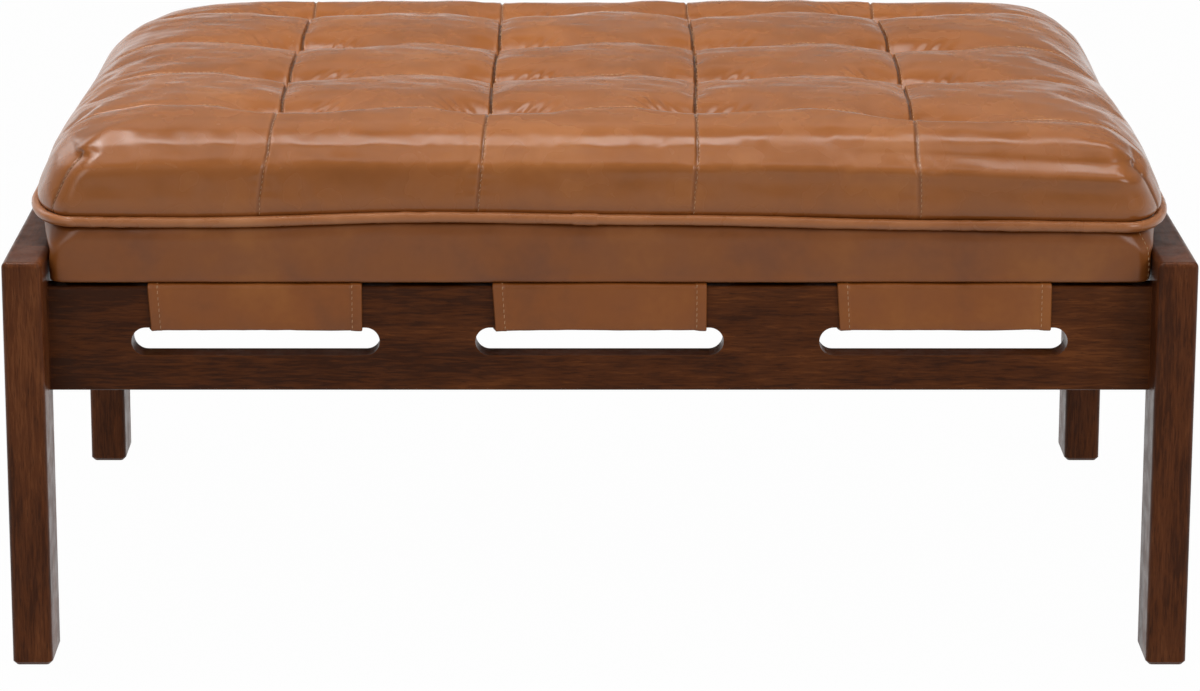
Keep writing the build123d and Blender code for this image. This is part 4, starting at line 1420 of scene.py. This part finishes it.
    @staticmethod
    def puckers(across: Array, columns: Array, rows: Array) -> Array:
        """The relief of tiny ripples where the thread gathers the leather.

        Args:
            across: the unfolded places.
            columns: distance from the nearest column seam.
            rows: distance from the nearest row seam.

        Returns:
            One height for each point.
        """
        draw = np.random.default_rng(12)
        total = np.zeros(len(across))
        for gap, run, size in ((columns, across[:, 1], 0.16 * MM), (rows, across[:, 0], 0.05 * MM)):
            for length in (9 * MM, 13 * MM, 21 * MM):
                phase = draw.uniform(0, 6)
                ripple = np.sin(TURN * run / length + phase + 1.3 * np.sin(run * 31 + phase))
                total += size * ripple * bell(gap, 5 * MM, 1) * (1 - bell(gap, 1.2 * MM, 1))
        return total

    @staticmethod
    def mark_tones(piece: Piece, columns: Array, rows: Array, dart: Array, rim: Array) -> None:
        """Marks the painted shade of the creases and the crests' lightening, partly pull-up wear and partly
        painted highlight, for the leather's tone.

        Args:
            piece: the cover.
            columns: distance from the nearest column seam.
            rows: distance from the nearest row seam.
            dart: distance from the nearest dart.
            rim: share of the way down the wall.
        """
        tuft = bell(np.hypot(columns, rows), 12 * MM, 1.3)
        on_top = 1 - step(rim, 0.0, 0.2)
        seam = np.maximum(bell(columns, 1.5 * MM), 0.35 * bell(rows, 1.2 * MM)) * (0.4 + 0.6 * on_top)
        darts = 0.7 * bell(dart, 1.2 * MM) * (rim > 0.02)
        # Painted shade at the seams, tuft dimples, darts and the wall's foot by the piping.
        painted_crease_shade = np.maximum.reduce([0.8 * seam, 0.40 * tuft, darts, step(rim, 0.88, 1.0) * 0.85])
        # Crest lightening beside the seams: partly pull-up wear, partly a painted highlight.
        crest_wear_and_highlight = bell(np.minimum(columns, rows) - 2.6 * MM, 1.3 * MM) * 0.9 * (1 - tuft)
        set_attribute(piece, "painted_crease_shade", np.clip(painted_crease_shade, 0, 1))
        set_attribute(piece, "crest_wear_and_highlight", np.clip(crest_wear_and_highlight, 0, 1))

    def chains(self) -> dict[str, Array]:
        """The coarse mesh's point numbers along each seam, in order."""
        nx, ny, count = self.nx, self.ny, len(self.rim)
        place_in_rim = {int(number): order for order, number in enumerate(self.rim)}
        runs = {}
        for order, seam in enumerate(self.plan.column_seams):
            runs[f"column_{order}"] = np.arange(ny) * nx + np.argmin(np.abs(self.lines[0] - seam))
        for order, seam in enumerate(self.plan.row_seams):
            runs[f"row_{order}"] = np.argmin(np.abs(self.lines[1] - seam)) * nx + np.arange(nx)
        for order, number in enumerate((0, nx - 1, nx * ny - 1, nx * (ny - 1))):
            runs[f"dart_{order}"] = np.array([number])

        def down(number: int) -> Array:
            """The wall points below one border point."""
            return nx * ny + np.arange(self.wall_rows) * count + place_in_rim[int(number)]

        return {name: np.concatenate([down(run[0])[::-1], run, down(run[-1]) if len(run) > 1 else run[:0]])
                for name, run in runs.items()}

    @staticmethod
    def sew(piece: Piece, chains: dict[str, Array]) -> Stitching:
        """Lays stitches beside every seam.

        Args:
            piece: the detailed cover.
            chains: the seams' centrelines.

        Returns:
            The stitching.
        """
        stitching = Stitching()
        mesh = bmesh.new()
        mesh.from_mesh(piece.data)
        tree = BVHTree.FromBMesh(mesh)
        mesh.free()
        for number, (name, line) in enumerate(sorted(chains.items())):
            beside = 1.6 * MM if name.startswith("column") else -1.2 * MM
            line = resample(line[1:-1], int(len(line) * 3))
            snapped, out = [], []
            for point, direction in zip(line, unit(np.gradient(line, axis=0))):
                normal = tree.find_nearest(Vector(point))[1]
                sideways = Vector(np.cross(direction, normal)).normalized() * beside
                near, normal, _, _ = tree.find_nearest(Vector(point) + sideways)
                snapped.append(near)
                out.append(normal)
            stitching.row(np.array(snapped), np.array(out), slant=0.5 * MM, seed=number)
        return stitching


def point_normals(points: Array, faces: Faces) -> Array:
    """The smooth unit normal at each point of a quad mesh.

    Args:
        points: its points.
        faces: its quads.

    Returns:
        One unit normal for each point.
    """
    quads = np.asarray(faces)
    cross = np.cross(points[quads[:, 2]] - points[quads[:, 0]], points[quads[:, 3]] - points[quads[:, 1]])
    total = np.zeros_like(points)
    for corner in range(4):
        np.add.at(total, quads[:, corner], cross)
    return total / np.maximum(np.linalg.norm(total, axis=1), 1e-12)[:, None]


@dataclass
class Piping:
    """The welt round the cushion, with the sleeve that covers its joint at the front."""

    plan: CushionPlan
    palette: Palette
    radius: float = 4.5 * MM
    samples: int = 900
    sides: int = 18
    sleeve: tuple[float, float] = (-20.8 * MM, -1.6 * MM)
    sleeve_swell: float = 0.75 * MM
    # Depth, wavelength and seed: how it wavers up and down, and how its thickness varies
    wavering: tuple[float, float, int] = (0.45 * MM, 0.21, 21)
    thickening: tuple[float, float, int] = (0.12 * MM, 0.05, 22)

    def build(self) -> list[Piece]:
        """Sweeps the welt along the cushion's outline."""
        ring = self.plan.outline(0.0, 0.0, self.samples, self.plan.corner)
        stray = ripples(np.column_stack([ring, np.zeros(len(ring))]), self.wavering)
        height = self.plan.piping_height - self.plan.dip(ring[:, 0], ring[:, 1]) + stray
        path = np.column_stack([ring, height])
        sleeve = (ring[:, 1] < -0.2) * step(ring[:, 0], self.sleeve[0] - 1.2 * MM, self.sleeve[0])
        sleeve *= 1 - step(ring[:, 0], self.sleeve[1], self.sleeve[1] + 0.9 * MM)
        radii = self.radius + ripples(path, self.thickening)
        radii += self.sleeve_swell * sleeve
        points, faces = tube(path, radii, self.sides, closed=True)
        piece = mesh_object("piping_welt", points, faces)
        wrinkles = 0.16 * MM * waves(points, 0.013, 23) * (0.5 + 0.5 * waves(points, 0.11, 24))
        set_points(piece, points + get_normals(piece) * wrinkles[:, None])
        stand_for(piece, self.palette["piping_leather"], "cushion", "piping")
        return [piece]


@dataclass
class LowerBorder:
    """The leather band under the piping, with the pocket for the zip at the back."""

    plan: CushionPlan
    palette: Palette
    # Height, inset at the ends and at the sides, and a corner's share of the length and depth, in millimetres
    profile: tuple[tuple[float, float, float, float, float], ...] = (
        (386.5, 12.5, 11.0, 36.0, 80.0), (383.5, 8.0, 6.0, 40.0, 86.0), (379.5, 6.7, 1.8, 40.0, 84.0),
        (371.6, 9.5, -0.4, 30.0, 60.0), (364.0, 13.5, -0.6, 18.0, 32.0), (357.2, 17.2, -0.4, 10.0, 17.0),
        (350.0, 17.2, 0.0, 8.0, 12.0), (343.0, 17.2, 0.5, 7.5, 11.0), (337.0, 17.4, 1.0, 7.5, 11.0),
        (333.0, 17.8, 1.3, 7.5, 10.0), (330.6, 19.0, 2.4, 8.0, 10.5), (329.6, 24.0, 8.0, 10.0, 12.0),
        (330.8, 38.0, 27.0, 18.0, 22.0))
    corner_lift: float = 0.5 * MM
    columns: int = 880
    row_pitch: float = 1.7 * MM
    lowest: float = 329.35 * MM
    # Depth, wavelength and seed of its unevenness
    uneven: tuple[tuple[float, float, int], ...] = ((0.55 * MM, 0.12, 31), (0.25 * MM, 0.035, 32))
    # Depth and width of a seam's groove, then height, distance and width of the puff beside it
    groove: tuple[float, float] = (1.1 * MM, 1.3 * MM)
    puff: tuple[float, float, float] = (0.4 * MM, 4 * MM, 2.5 * MM)
    # Half the length, the middle's height, half the height and the floor of the zip's pocket
    pocket: tuple[float, float, float, float] = (292.3 * MM, 352.2 * MM, 11.0 * MM, 297.4 * MM)
    pocket_seams: tuple[float, float] = (-13.4 * MM, 13.4 * MM)
    seams: tuple[tuple[Side, float], ...] = (
        (Side.FRONT, 0.459), (Side.RIGHT, 0.235), (Side.BACK, -0.452), (Side.LEFT, -0.232))

    def build(self) -> list[Piece]:
        """Shapes the band, its pocket and seams, and stitches it.

        Returns:
            The band and its stitches.
        """
        points, faces, grid = self.band()
        piece = mesh_object("lower_border_band", points, faces)
        relief = ripples(points, *self.uneven)
        pull = np.zeros(len(points))
        depth, width = self.groove
        height, away, puff_width = self.puff
        for seam in self.seams:
            gap, _ = self.seam_gap(points, grid, seam)
            pull += depth * bell(gap, width) - height * bell(gap - away, puff_width)
        inside, on_faces = self.in_pocket(points), step(points[:, 2], 0.3305, 0.337)
        points = points + get_normals(piece) * ((relief * on_faces - pull * on_faces) * (1 - inside))[:, None]
        reach, centre, _, floor = self.pocket
        points[:, 1] = points[:, 1] * (1 - inside) + floor * inside
        points[:, 2] = np.maximum(points[:, 2], self.lowest)
        set_points(piece, points)
        stand_for(piece, self.palette["border_leather"], "cushion", "lower_border")
        stitching, normals = Stitching(), get_normals(piece)
        for number, seam in enumerate(self.seams):
            _, column = self.seam_gap(points, grid, seam)
            beside = grid[4:-12, (column + 1) % self.columns]
            stitching.row(points[beside], normals[beside], sink=0.0, slant=0.4 * MM, seed=40 + number)
        for rise in self.pocket_seams:
            row = self.level_row(points, grid, centre + rise, reach + 3 * MM)
            stitching.row(points[row], normals[row], sink=0.0, slant=0.4 * MM, seed=50)
        return [piece, stitching.build("border_stitches", self.palette["sewing_thread"], "cushion")]

    def band(self) -> tuple[Array, Faces, Array]:
        """The plain band before its relief.

        Returns:
            Its points, its faces, and the numbers of its points, row by row.
        """
        fine = smooth_line(np.asarray(self.profile) * MM, 400)
        run = np.concatenate([[0], np.cumsum(np.hypot(np.diff(fine[:, 0]), np.diff(fine[:, 2])))])
        rows = int(run[-1] / self.row_pitch)
        rings = []
        for height, end_inset, side_inset, *corner in interpolated(np.linspace(0, run[-1], rows), run, fine):
            ring = self.plan.outline(end_inset, side_inset, self.columns, corner)
            dip = self.plan.dip(ring[:, 0], ring[:, 1]) * step(height, 0.334, 0.381)
            gap = np.hypot(0.464 - np.abs(ring[:, 0]), 0.303 - np.abs(ring[:, 1]))
            lift = self.corner_lift * bell(gap, 12 * MM) * (1 - step(height, 0.330, 0.346))
            rings.append(np.column_stack([ring, height - dip + lift]))
        grid = np.arange(rows * self.columns).reshape(rows, self.columns)
        return np.vstack(rings), band_faces(grid), grid

    def in_pocket(self, points: Array) -> Array:
        """How far each point lies in the zip's pocket, from 0 to 1.

        Args:
            points: the band's points.

        Returns:
            One share for each.
        """
        x_reach, centre, reach, _ = self.pocket
        side = 1 - step(np.abs(points[:, 2] - centre), reach - 0.9 * MM, reach + 0.9 * MM)
        end = 1 - step(np.abs(points[:, 0]), x_reach - 0.9 * MM, x_reach + 2.2 * MM)
        return side * end * (points[:, 1] > 0.25)

    @staticmethod
    def seam_gap(points: Array, grid: Array, seam: tuple[Side, float]) -> tuple[Array, int]:
        """The distance of every point from one upright seam.

        Args:
            points: the band's points.
            grid: their numbers, row by row.
            seam: the side that it is on and its place along that side.

        Returns:
            The distances and the seam's column.
        """
        side, place = seam
        axis = 0 if side in (Side.FRONT, Side.BACK) else 1
        sign = -1 if side in (Side.FRONT, Side.LEFT) else 1
        middle = points[grid[len(grid) // 3]]
        column = int(np.argmin(np.abs(middle[:, axis] - place) + 10 * (middle[:, 1 - axis] * sign < 0)))
        line = points[grid[:, column]]
        return np.linalg.norm(points.reshape(grid.shape + (3,)) - line[:, None], axis=2).ravel(), column

    def level_row(self, points: Array, grid: Array, height: float, reach: float) -> Array:
        """Finds the points along the back at one height.

        Args:
            points: the band's points.
            grid: their numbers, row by row.
            height: the height.
            reach: how far to each side.

        Returns:
            Their numbers, from left to right.
        """
        middle = points[grid[:-8, self.columns // 2]]
        row = grid[int(np.argmin(np.abs(middle[:, 2] - height)))]
        chosen = row[(points[row][:, 1] > 0.25) & (np.abs(points[row][:, 0]) < reach)]
        return chosen[np.argsort(points[chosen][:, 0])]


def rounded_slab(plan: CushionPlan, levels: Sequence[tuple[float, float]],
                 cells: tuple[int, int]) -> tuple[Array, Faces]:
    """A closed slab of the cushion base's size, with rounded corners and edges.

    Args:
        plan: the cushion's plan.
        levels: the inset and height of each ring, from its top edge to its bottom edge.
        cells: grid cells along and across.

    Returns:
        The points and faces.
    """
    line_x, line_y = [np.linspace(-1, 1, count + 1) * size for count, size in zip(cells, plan.shoulder)]
    mesh_y, mesh_x = np.meshgrid(line_y, line_x, indexing="ij")
    nominal = np.stack([mesh_x.ravel(), mesh_y.ravel()], 1)
    rim = rim_numbers(len(line_x), len(line_y))
    half_x, half_y, radius = plan.base
    sheets = []
    for inset, height in levels:
        sheet = plan.place(nominal, half_x - inset, half_y - inset, [max(radius - inset, 4 * MM)] * 2)
        sheets.append(np.column_stack([sheet, np.full(len(sheet), height)]))
    points = [sheets[0]] + [sheet[rim] for sheet in sheets[1:-1]] + [sheets[-1]]
    starts = np.cumsum([len(part) for part in points])[:-1]
    rings = [rim] + [start + np.arange(len(rim)) for start in starts[:-1]] + [starts[-1] + rim]
    top = grid_faces(len(line_y), len(line_x))
    bottom = [[starts[-1] + i for i in face] for face in flipped(top)]
    return np.vstack(points), top + band_faces(rings) + bottom


@dataclass
class FoamBlock:
    """The foam inside the cushion, dimpled where the tufts pull it."""

    plan: CushionPlan
    palette: Palette
    bottom: float = 331.2 * MM
    top: float = 430.5 * MM
    edge: float = 9 * MM
    cells: tuple[int, int] = (90, 58)
    # Depth and width
    dimple: tuple[float, float] = (9 * MM, 16 * MM)

    def build(self) -> list[Piece]:
        """Shapes the block and its dimples."""
        turns = np.linspace(0, math.pi / 2, 6)
        insets = [self.edge * (1 - math.sin(t)) for t in turns]
        falls = [self.edge * (1 - math.cos(t)) for t in turns]
        upper = [(inset, self.top - fall) for inset, fall in zip(insets, falls)]
        lower = [(inset, self.bottom + fall) for inset, fall in zip(insets, falls)]
        points, faces = rounded_slab(self.plan, upper + lower[::-1], self.cells)
        depth, width = self.dimple
        for x in self.plan.column_seams:
            for y in self.plan.row_seams:
                gap = np.hypot(points[:, 0] - x, points[:, 1] - y)
                points[:, 2] -= depth * bell(gap, width) * (points[:, 2] > 0.42)
        points[:, 2] -= self.plan.sag(points[:, 0], points[:, 1]) * step(points[:, 2], 0.38, 0.43)
        piece = mesh_object("foam_block", points, faces)
        stand_for(piece, self.palette["seat_foam"], "cushion", "foam_core")
        return [piece]


@dataclass
class BottomLining:
    """The lining panel under the cushion, with its hem stitches."""

    plan: CushionPlan
    palette: Palette
    bottom: float = 329.25 * MM
    top: float = 331.0 * MM
    cells: tuple[int, int] = (110, 70)
    hem: float = 4 * MM
    hem_samples: int = 900

    def build(self) -> list[Piece]:
        """Shapes the panel and its hem stitches."""
        levels = [(0.9 * MM, self.top), (0.2 * MM, self.top - 0.4 * MM), (0.0, self.bottom + 0.7 * MM),
                  (0.6 * MM, self.bottom)]
        points, faces = rounded_slab(self.plan, levels, self.cells)
        under = points[:, 2] < self.bottom + 0.2 * MM
        points[:, 2] += np.abs(waves(points, 0.03, 61)) * 0.12 * MM * under
        piece = mesh_object("bottom_lining", points, faces)
        stand_for(piece, self.palette["lining_cloth"], "cushion", "bottom_cover")
        half_x, half_y, radius = self.plan.base
        insets = self.plan.half_length - half_x + self.hem, self.plan.half_depth - half_y + self.hem
        ring = self.plan.outline(*insets, self.hem_samples, [radius - self.hem] * 2)
        line = np.column_stack([ring, np.full(len(ring), self.bottom)])
        stitching = Stitching()
        stitching.row(line, np.tile([0.0, 0.0, -1.0], (len(ring), 1)), sink=0.15 * MM, seed=62)
        return [piece, stitching.build("lining_stitches", self.palette["brown_thread"], "cushion")]


def rounded_path(corners: Sequence[tuple[float, float]], radii: Sequence[float], pitch: float) -> Array:
    """A path through corners that are rounded, sampled closely.

    Args:
        corners: its ends and corners.
        radii: the radius at each corner between the ends.
        pitch: greatest gap between samples on the straight runs.

    Returns:
        The samples.
    """
    p = np.asarray(corners, float)
    turns = np.linspace(0, math.pi / 2, 8)[:, None]
    bends = [p[:1]]
    for before, corner, after, radius in zip(p, p[1:], p[2:], radii):
        back, on = unit(np.array([before - corner, after - corner]))
        centre = corner + (back + on) * radius
        bends.append(centre - on * radius * np.cos(turns) - back * radius * np.sin(turns))
    line = np.vstack(bends + [p[-1:]])
    samples = [line[:1]]
    for start, end in zip(line, line[1:]):
        count = max(1, int(math.ceil(np.linalg.norm(end - start) / pitch)))
        samples.append(start + (end - start) * (np.arange(1, count + 1) / count)[:, None])
    return np.vstack(samples)


@dataclass
class Strap:
    """One wide hemmed leather strap, over both rails and through their slots."""

    side: str
    centre: float
    palette: Palette
    seed: int
    width: float = 181 * MM
    thickness: float = 2.4 * MM
    hem: float = 9.6 * MM
    hem_swell: float = 0.55 * MM
    stitch_inset: float = 8.4 * MM
    # The rails' outer and inner faces
    rail_faces: tuple[float, float] = (303 * MM, 279 * MM)
    rail_top: float = 326.5 * MM
    slot_top: float = 290.9 * MM
    tail_top: float = 318.9 * MM
    sample_pitch: float = 4 * MM
    lean: float = 2.4 * MM
    sag: float = 1.2 * MM
    # Depth and wavelength of its unevenness
    uneven: tuple[tuple[float, float], ...] = ((0.25 * MM, 0.06), (0.10 * MM, 0.014))

    def build(self) -> list[Piece]:
        """Sweeps the hemmed section along the strap's path and stitches both hems.

        Returns:
            The strap and its stitches.
        """
        path, normals = self.centreline()
        across, rise = self.section()
        rows, count = len(path), len(across)
        on_face = step(np.abs(path[:, 0]), self.rail_faces[0] - 6 * MM, self.rail_faces[0])
        rings = []
        for (y, z), (out_y, out_z), shown in zip(path, normals, on_face):
            thin = 1 - 0.45 * shown * step(-z, -self.slot_top - 6 * MM, -self.slot_top)
            lift = np.where(rise > 0, (rise + self.hem_share(across) * self.hem_swell * shown) * thin, rise)
            rings.append(np.column_stack([across, y + out_y * lift, z + out_z * lift]))
        points = np.vstack(rings)
        front, outer = np.repeat(on_face, count), np.tile(rise > 0, rows)
        out = np.repeat(np.column_stack([np.zeros(rows), normals]), count, 0)
        drop = np.clip((self.rail_top - points[:, 2]) / (self.rail_top - self.slot_top), 0, 1) * front
        leaning = np.where(points[:, 0] < 0, 1 - 0.6 * step(points[:, 0], -0.09, 0), 0)
        points[:, 0] += self.lean * drop * leaning
        ripple = np.zeros(len(points))
        for order, (depth, wavelength) in enumerate(self.uneven):
            ripple += depth * (1 + waves(points + self.seed, wavelength, self.seed + order)) * front
        points += out * (ripple * outer)[:, None]
        edge = step(np.abs(points[:, 0]), self.width / 2 - self.hem, self.width / 2 - 0.5 * self.hem)
        points[:, 2] -= 0.5 * MM * (outer * front * edge * (points[:, 2] < self.slot_top + 1 * MM))
        points[:, 0] += self.centre
        piece = mesh_object(f"{self.side}_leather_strap", points, flipped(capped_faces(rows, count)))
        stand_for(piece, self.palette["strap_leather"], "frame", f"{self.side}_strap")
        return [piece, self.stitch(points.reshape(rows, count, 3), out.reshape(rows, count, 3), across, rise)]

    def centreline(self) -> tuple[Array, Array]:
        """The middle of the strap's thickness, from its front tail to its back tail.

        Returns:
            Y and Z of each sample, and the way out of the leather there.
        """
        half = self.thickness / 2
        outer, inner = self.rail_faces[0] + half, self.rail_faces[1] - half
        top, low = self.rail_top + half, self.slot_top - half
        corners = [(-inner, self.tail_top), (-inner, low), (-outer, low), (-outer, top),
                   (outer, top), (outer, low), (inner, low), (inner, self.tail_top)]
        radii = (half, half, half + 2 * MM, half + 2 * MM, half, half)
        path = rounded_path(corners, radii, self.sample_pitch)
        way = unit(np.gradient(path, axis=0))
        path[:, 1] -= self.sag * (np.clip(1 - (path[:, 0] / 0.272) ** 2, 0, 1) * (path[:, 1] > self.rail_top))
        return path, np.stack([-way[:, 1], way[:, 0]], 1)

    def section(self) -> tuple[Array, Array]:
        """The section's loop: across the strap, and out from its middle.

        Returns:
            The two coordinates of each point of the loop.
        """
        half_width, half = self.width / 2, self.thickness / 2
        hem = half_width - self.hem
        beside_hem = np.array([4, 1.2, 0.3, -0.4, -1.4]) * MM
        middle = np.linspace(-hem + 5 * MM, hem - 5 * MM, 27)
        flat = np.concatenate([-hem - beside_hem, middle, hem + beside_hem[::-1]])
        turns = np.linspace(math.pi / 2, -math.pi / 2, 9)[:, None]
        right = np.hstack([half_width - half + half * np.cos(turns), half * np.sin(turns)])
        left = np.hstack([-half_width + half - half * np.cos(turns), -half * np.sin(turns)])
        upper = np.column_stack([flat, np.full(len(flat), half)])
        lower = np.column_stack([flat[::-1], np.full(len(flat), -half)])
        return tuple(np.vstack([upper, right, lower, left]).T)

    def hem_share(self, across: Array) -> Array:
        """How much of the hem's extra thickness each place across the strap has."""
        gap = self.width / 2 - np.abs(across)
        return (1 - step(gap, self.hem - 0.5 * MM, self.hem + 0.5 * MM)) * step(gap, 0.0, 0.9 * MM)

    def stitch(self, grid: Array, out: Array, across: Array, rise: Array) -> Piece:
        """The stitches along both hems.

        Args:
            grid: the strap's points, sample by sample.
            out: the way out at each.
            across: the section's places across the strap.
            rise: the section's heights.

        Returns:
            The thread.
        """
        stitching = Stitching(pitch=5.0 * MM, length=3.5 * MM, thread_radius=0.36 * MM)
        top = np.flatnonzero(rise >= self.thickness / 2 * 0.999)
        order = top[np.argsort(across[top])]
        keep = slice(9, len(grid) - 9)
        for number, side in enumerate((-1, 1)):
            place = [side * (self.width / 2 - self.stitch_inset)]
            line = np.vstack([interpolated(place, across[order], ring[order]) for ring in grid[keep]])
            stitching.row(line, out[keep, 0], sink=0.05 * MM, slant=0.35 * MM, seed=self.seed + number)
        return stitching.build(f"{self.side}_strap_stitches", self.palette["sewing_thread"], "frame")


@dataclass
class ZipTape:
    """The woven tape, the coil and the end stops of the zip in the cushion's back."""

    palette: Palette
    half_length: float = 291.7 * MM
    centre: float = 352.2 * MM
    floor: float = 297.55 * MM
    face: float = 299.1 * MM
    chain_half: float = 280 * MM
    chain_face: float = 301.3 * MM
    tooth_pitch: float = 1.4 * MM
    wire_radius: float = 0.42 * MM
    stop_length: float = 5 * MM
    # Distance from the zip's middle and rise from the pocket's floor across one strip, in millimetres
    strip: tuple[tuple[float, float], ...] = (
        (0.25, 0.5), (0.5, 1.3), (1.4, 1.5), (2.4, 1.4), (2.9, 1.0), (4.0, 0.95), (6.0, 0.9), (8.0, 0.9),
        (9.6, 0.95), (10.3, 0.8), (10.6, 0.25))
    # Height and width of a rib
    ribs: tuple[float, float] = (0.06 * MM, 0.9 * MM)

    def build(self) -> list[Piece]:
        """Builds the tape and the coil."""
        return [self.tape(), self.chain()]

    def tape(self) -> Piece:
        """Two ribbed strips with a beaded inner edge."""
        stations = np.linspace(-self.half_length, self.half_length, 260)
        heights, rise = np.asarray(self.strip).T * MM
        faces = grid_faces(len(stations), len(heights))
        strips = Gathered()
        for sign in (1, -1):
            grid_x, grid_z = np.meshgrid(stations, self.centre + sign * heights, indexing="ij")
            ribs = self.ribs[0] * np.sin(grid_x / self.ribs[1])
            woven = self.floor + np.broadcast_to(rise, grid_x.shape) + ribs
            for depth, looks_back in ((woven, sign > 0), (np.full(grid_x.shape, self.floor), sign < 0)):
                points = np.stack([grid_x.ravel(), depth.ravel(), grid_z.ravel()], 1)
                strips.add(points, faces if looks_back else flipped(faces))
        piece = strips.piece("zip_woven_tape")
        stand_for(piece, self.palette["zip_tape_cloth"], "cushion", "zip_tape")
        return piece

    def chain(self) -> Piece:
        """Two meshed coils and their end stops."""
        middle = (self.face + self.chain_face) / 2
        turns = int(2 * (self.chain_half - self.stop_length) / self.tooth_pitch)
        stations = np.arange(turns * 4 + 1) / 4
        parts = Gathered()
        for sign in (1, -1):
            x = -self.chain_half + self.stop_length + (stations + 0.25 * sign) * self.tooth_pitch
            y = middle + 0.62 * MM * np.sin(TURN * stations)
            z = self.centre + sign * (0.35 * MM + 0.85 * MM * (1 - np.cos(TURN * stations)))
            parts.add(*tube(np.stack([x, y, z], 1), self.wire_radius, 6, up=(0, 0.2, 1)))
        for end in (-1, 1):
            parts.add(*self.stop(end * (self.chain_half - 2.5 * MM)))
        piece = parts.piece("zip_coil")
        stand_for(piece, self.palette["zip_coil_nylon"], "cushion", "zip_chain")
        return piece

    def stop(self, place: float) -> tuple[Array, Faces]:
        """A small rounded end stop.

        Args:
            place: its place along the zip.

        Returns:
            Its points and faces.
        """
        corners = 20
        turns = np.linspace(0, TURN, corners, endpoint=False)
        x, z = [np.sign(wave) * np.abs(wave) ** 0.5 * half * MM
                for wave, half in ((np.cos(turns), 2.4), (np.sin(turns), 3.5))]
        top = self.chain_face
        levels = ((1.0, self.face), (1.0, top + 0.5 * MM), (0.86, top + 1.0 * MM), (0.5, top + 1.15 * MM))
        rings = [np.column_stack([place + x * share, np.full(corners, depth), self.centre + z * share])
                 for share, depth in levels]
        return np.vstack(rings), flipped(capped_faces(len(rings), corners))


@dataclass
class OttomanTable:
    """The whole table, built from its sub-assemblies."""

    palette: Palette
    plan: CushionPlan = CushionPlan()
    strap_pitch: float = 291 * MM

    def build(self) -> None:
        """Builds the sub-assemblies in order and reports each piece."""
        FrameAndFittings(self.palette).build()
        straps = [Strap(side, order * self.strap_pitch, self.palette, 70 + 5 * order)
                  for side, order in (("left", -1), ("centre", 0), ("right", 1))]
        upholstery = [kind(self.plan, self.palette)
                      for kind in (BottomLining, FoamBlock, LowerBorder, Piping, TuftedCover)]
        for maker in [*straps, *upholstery, ZipTape(self.palette)]:
            for piece in maker.build():
                log.info("%s: %d faces", piece.name, len(piece.data.polygons))


def main() -> None:
    """Builds the studio and the table."""
    logging.basicConfig(level=logging.INFO, format="%(name)s: %(message)s")
    Studio().build()
    palette = Palette()
    palette.mix()
    OttomanTable(palette).build()
    bpy.context.view_layer.update()


if __name__ == "__main__":
    main()
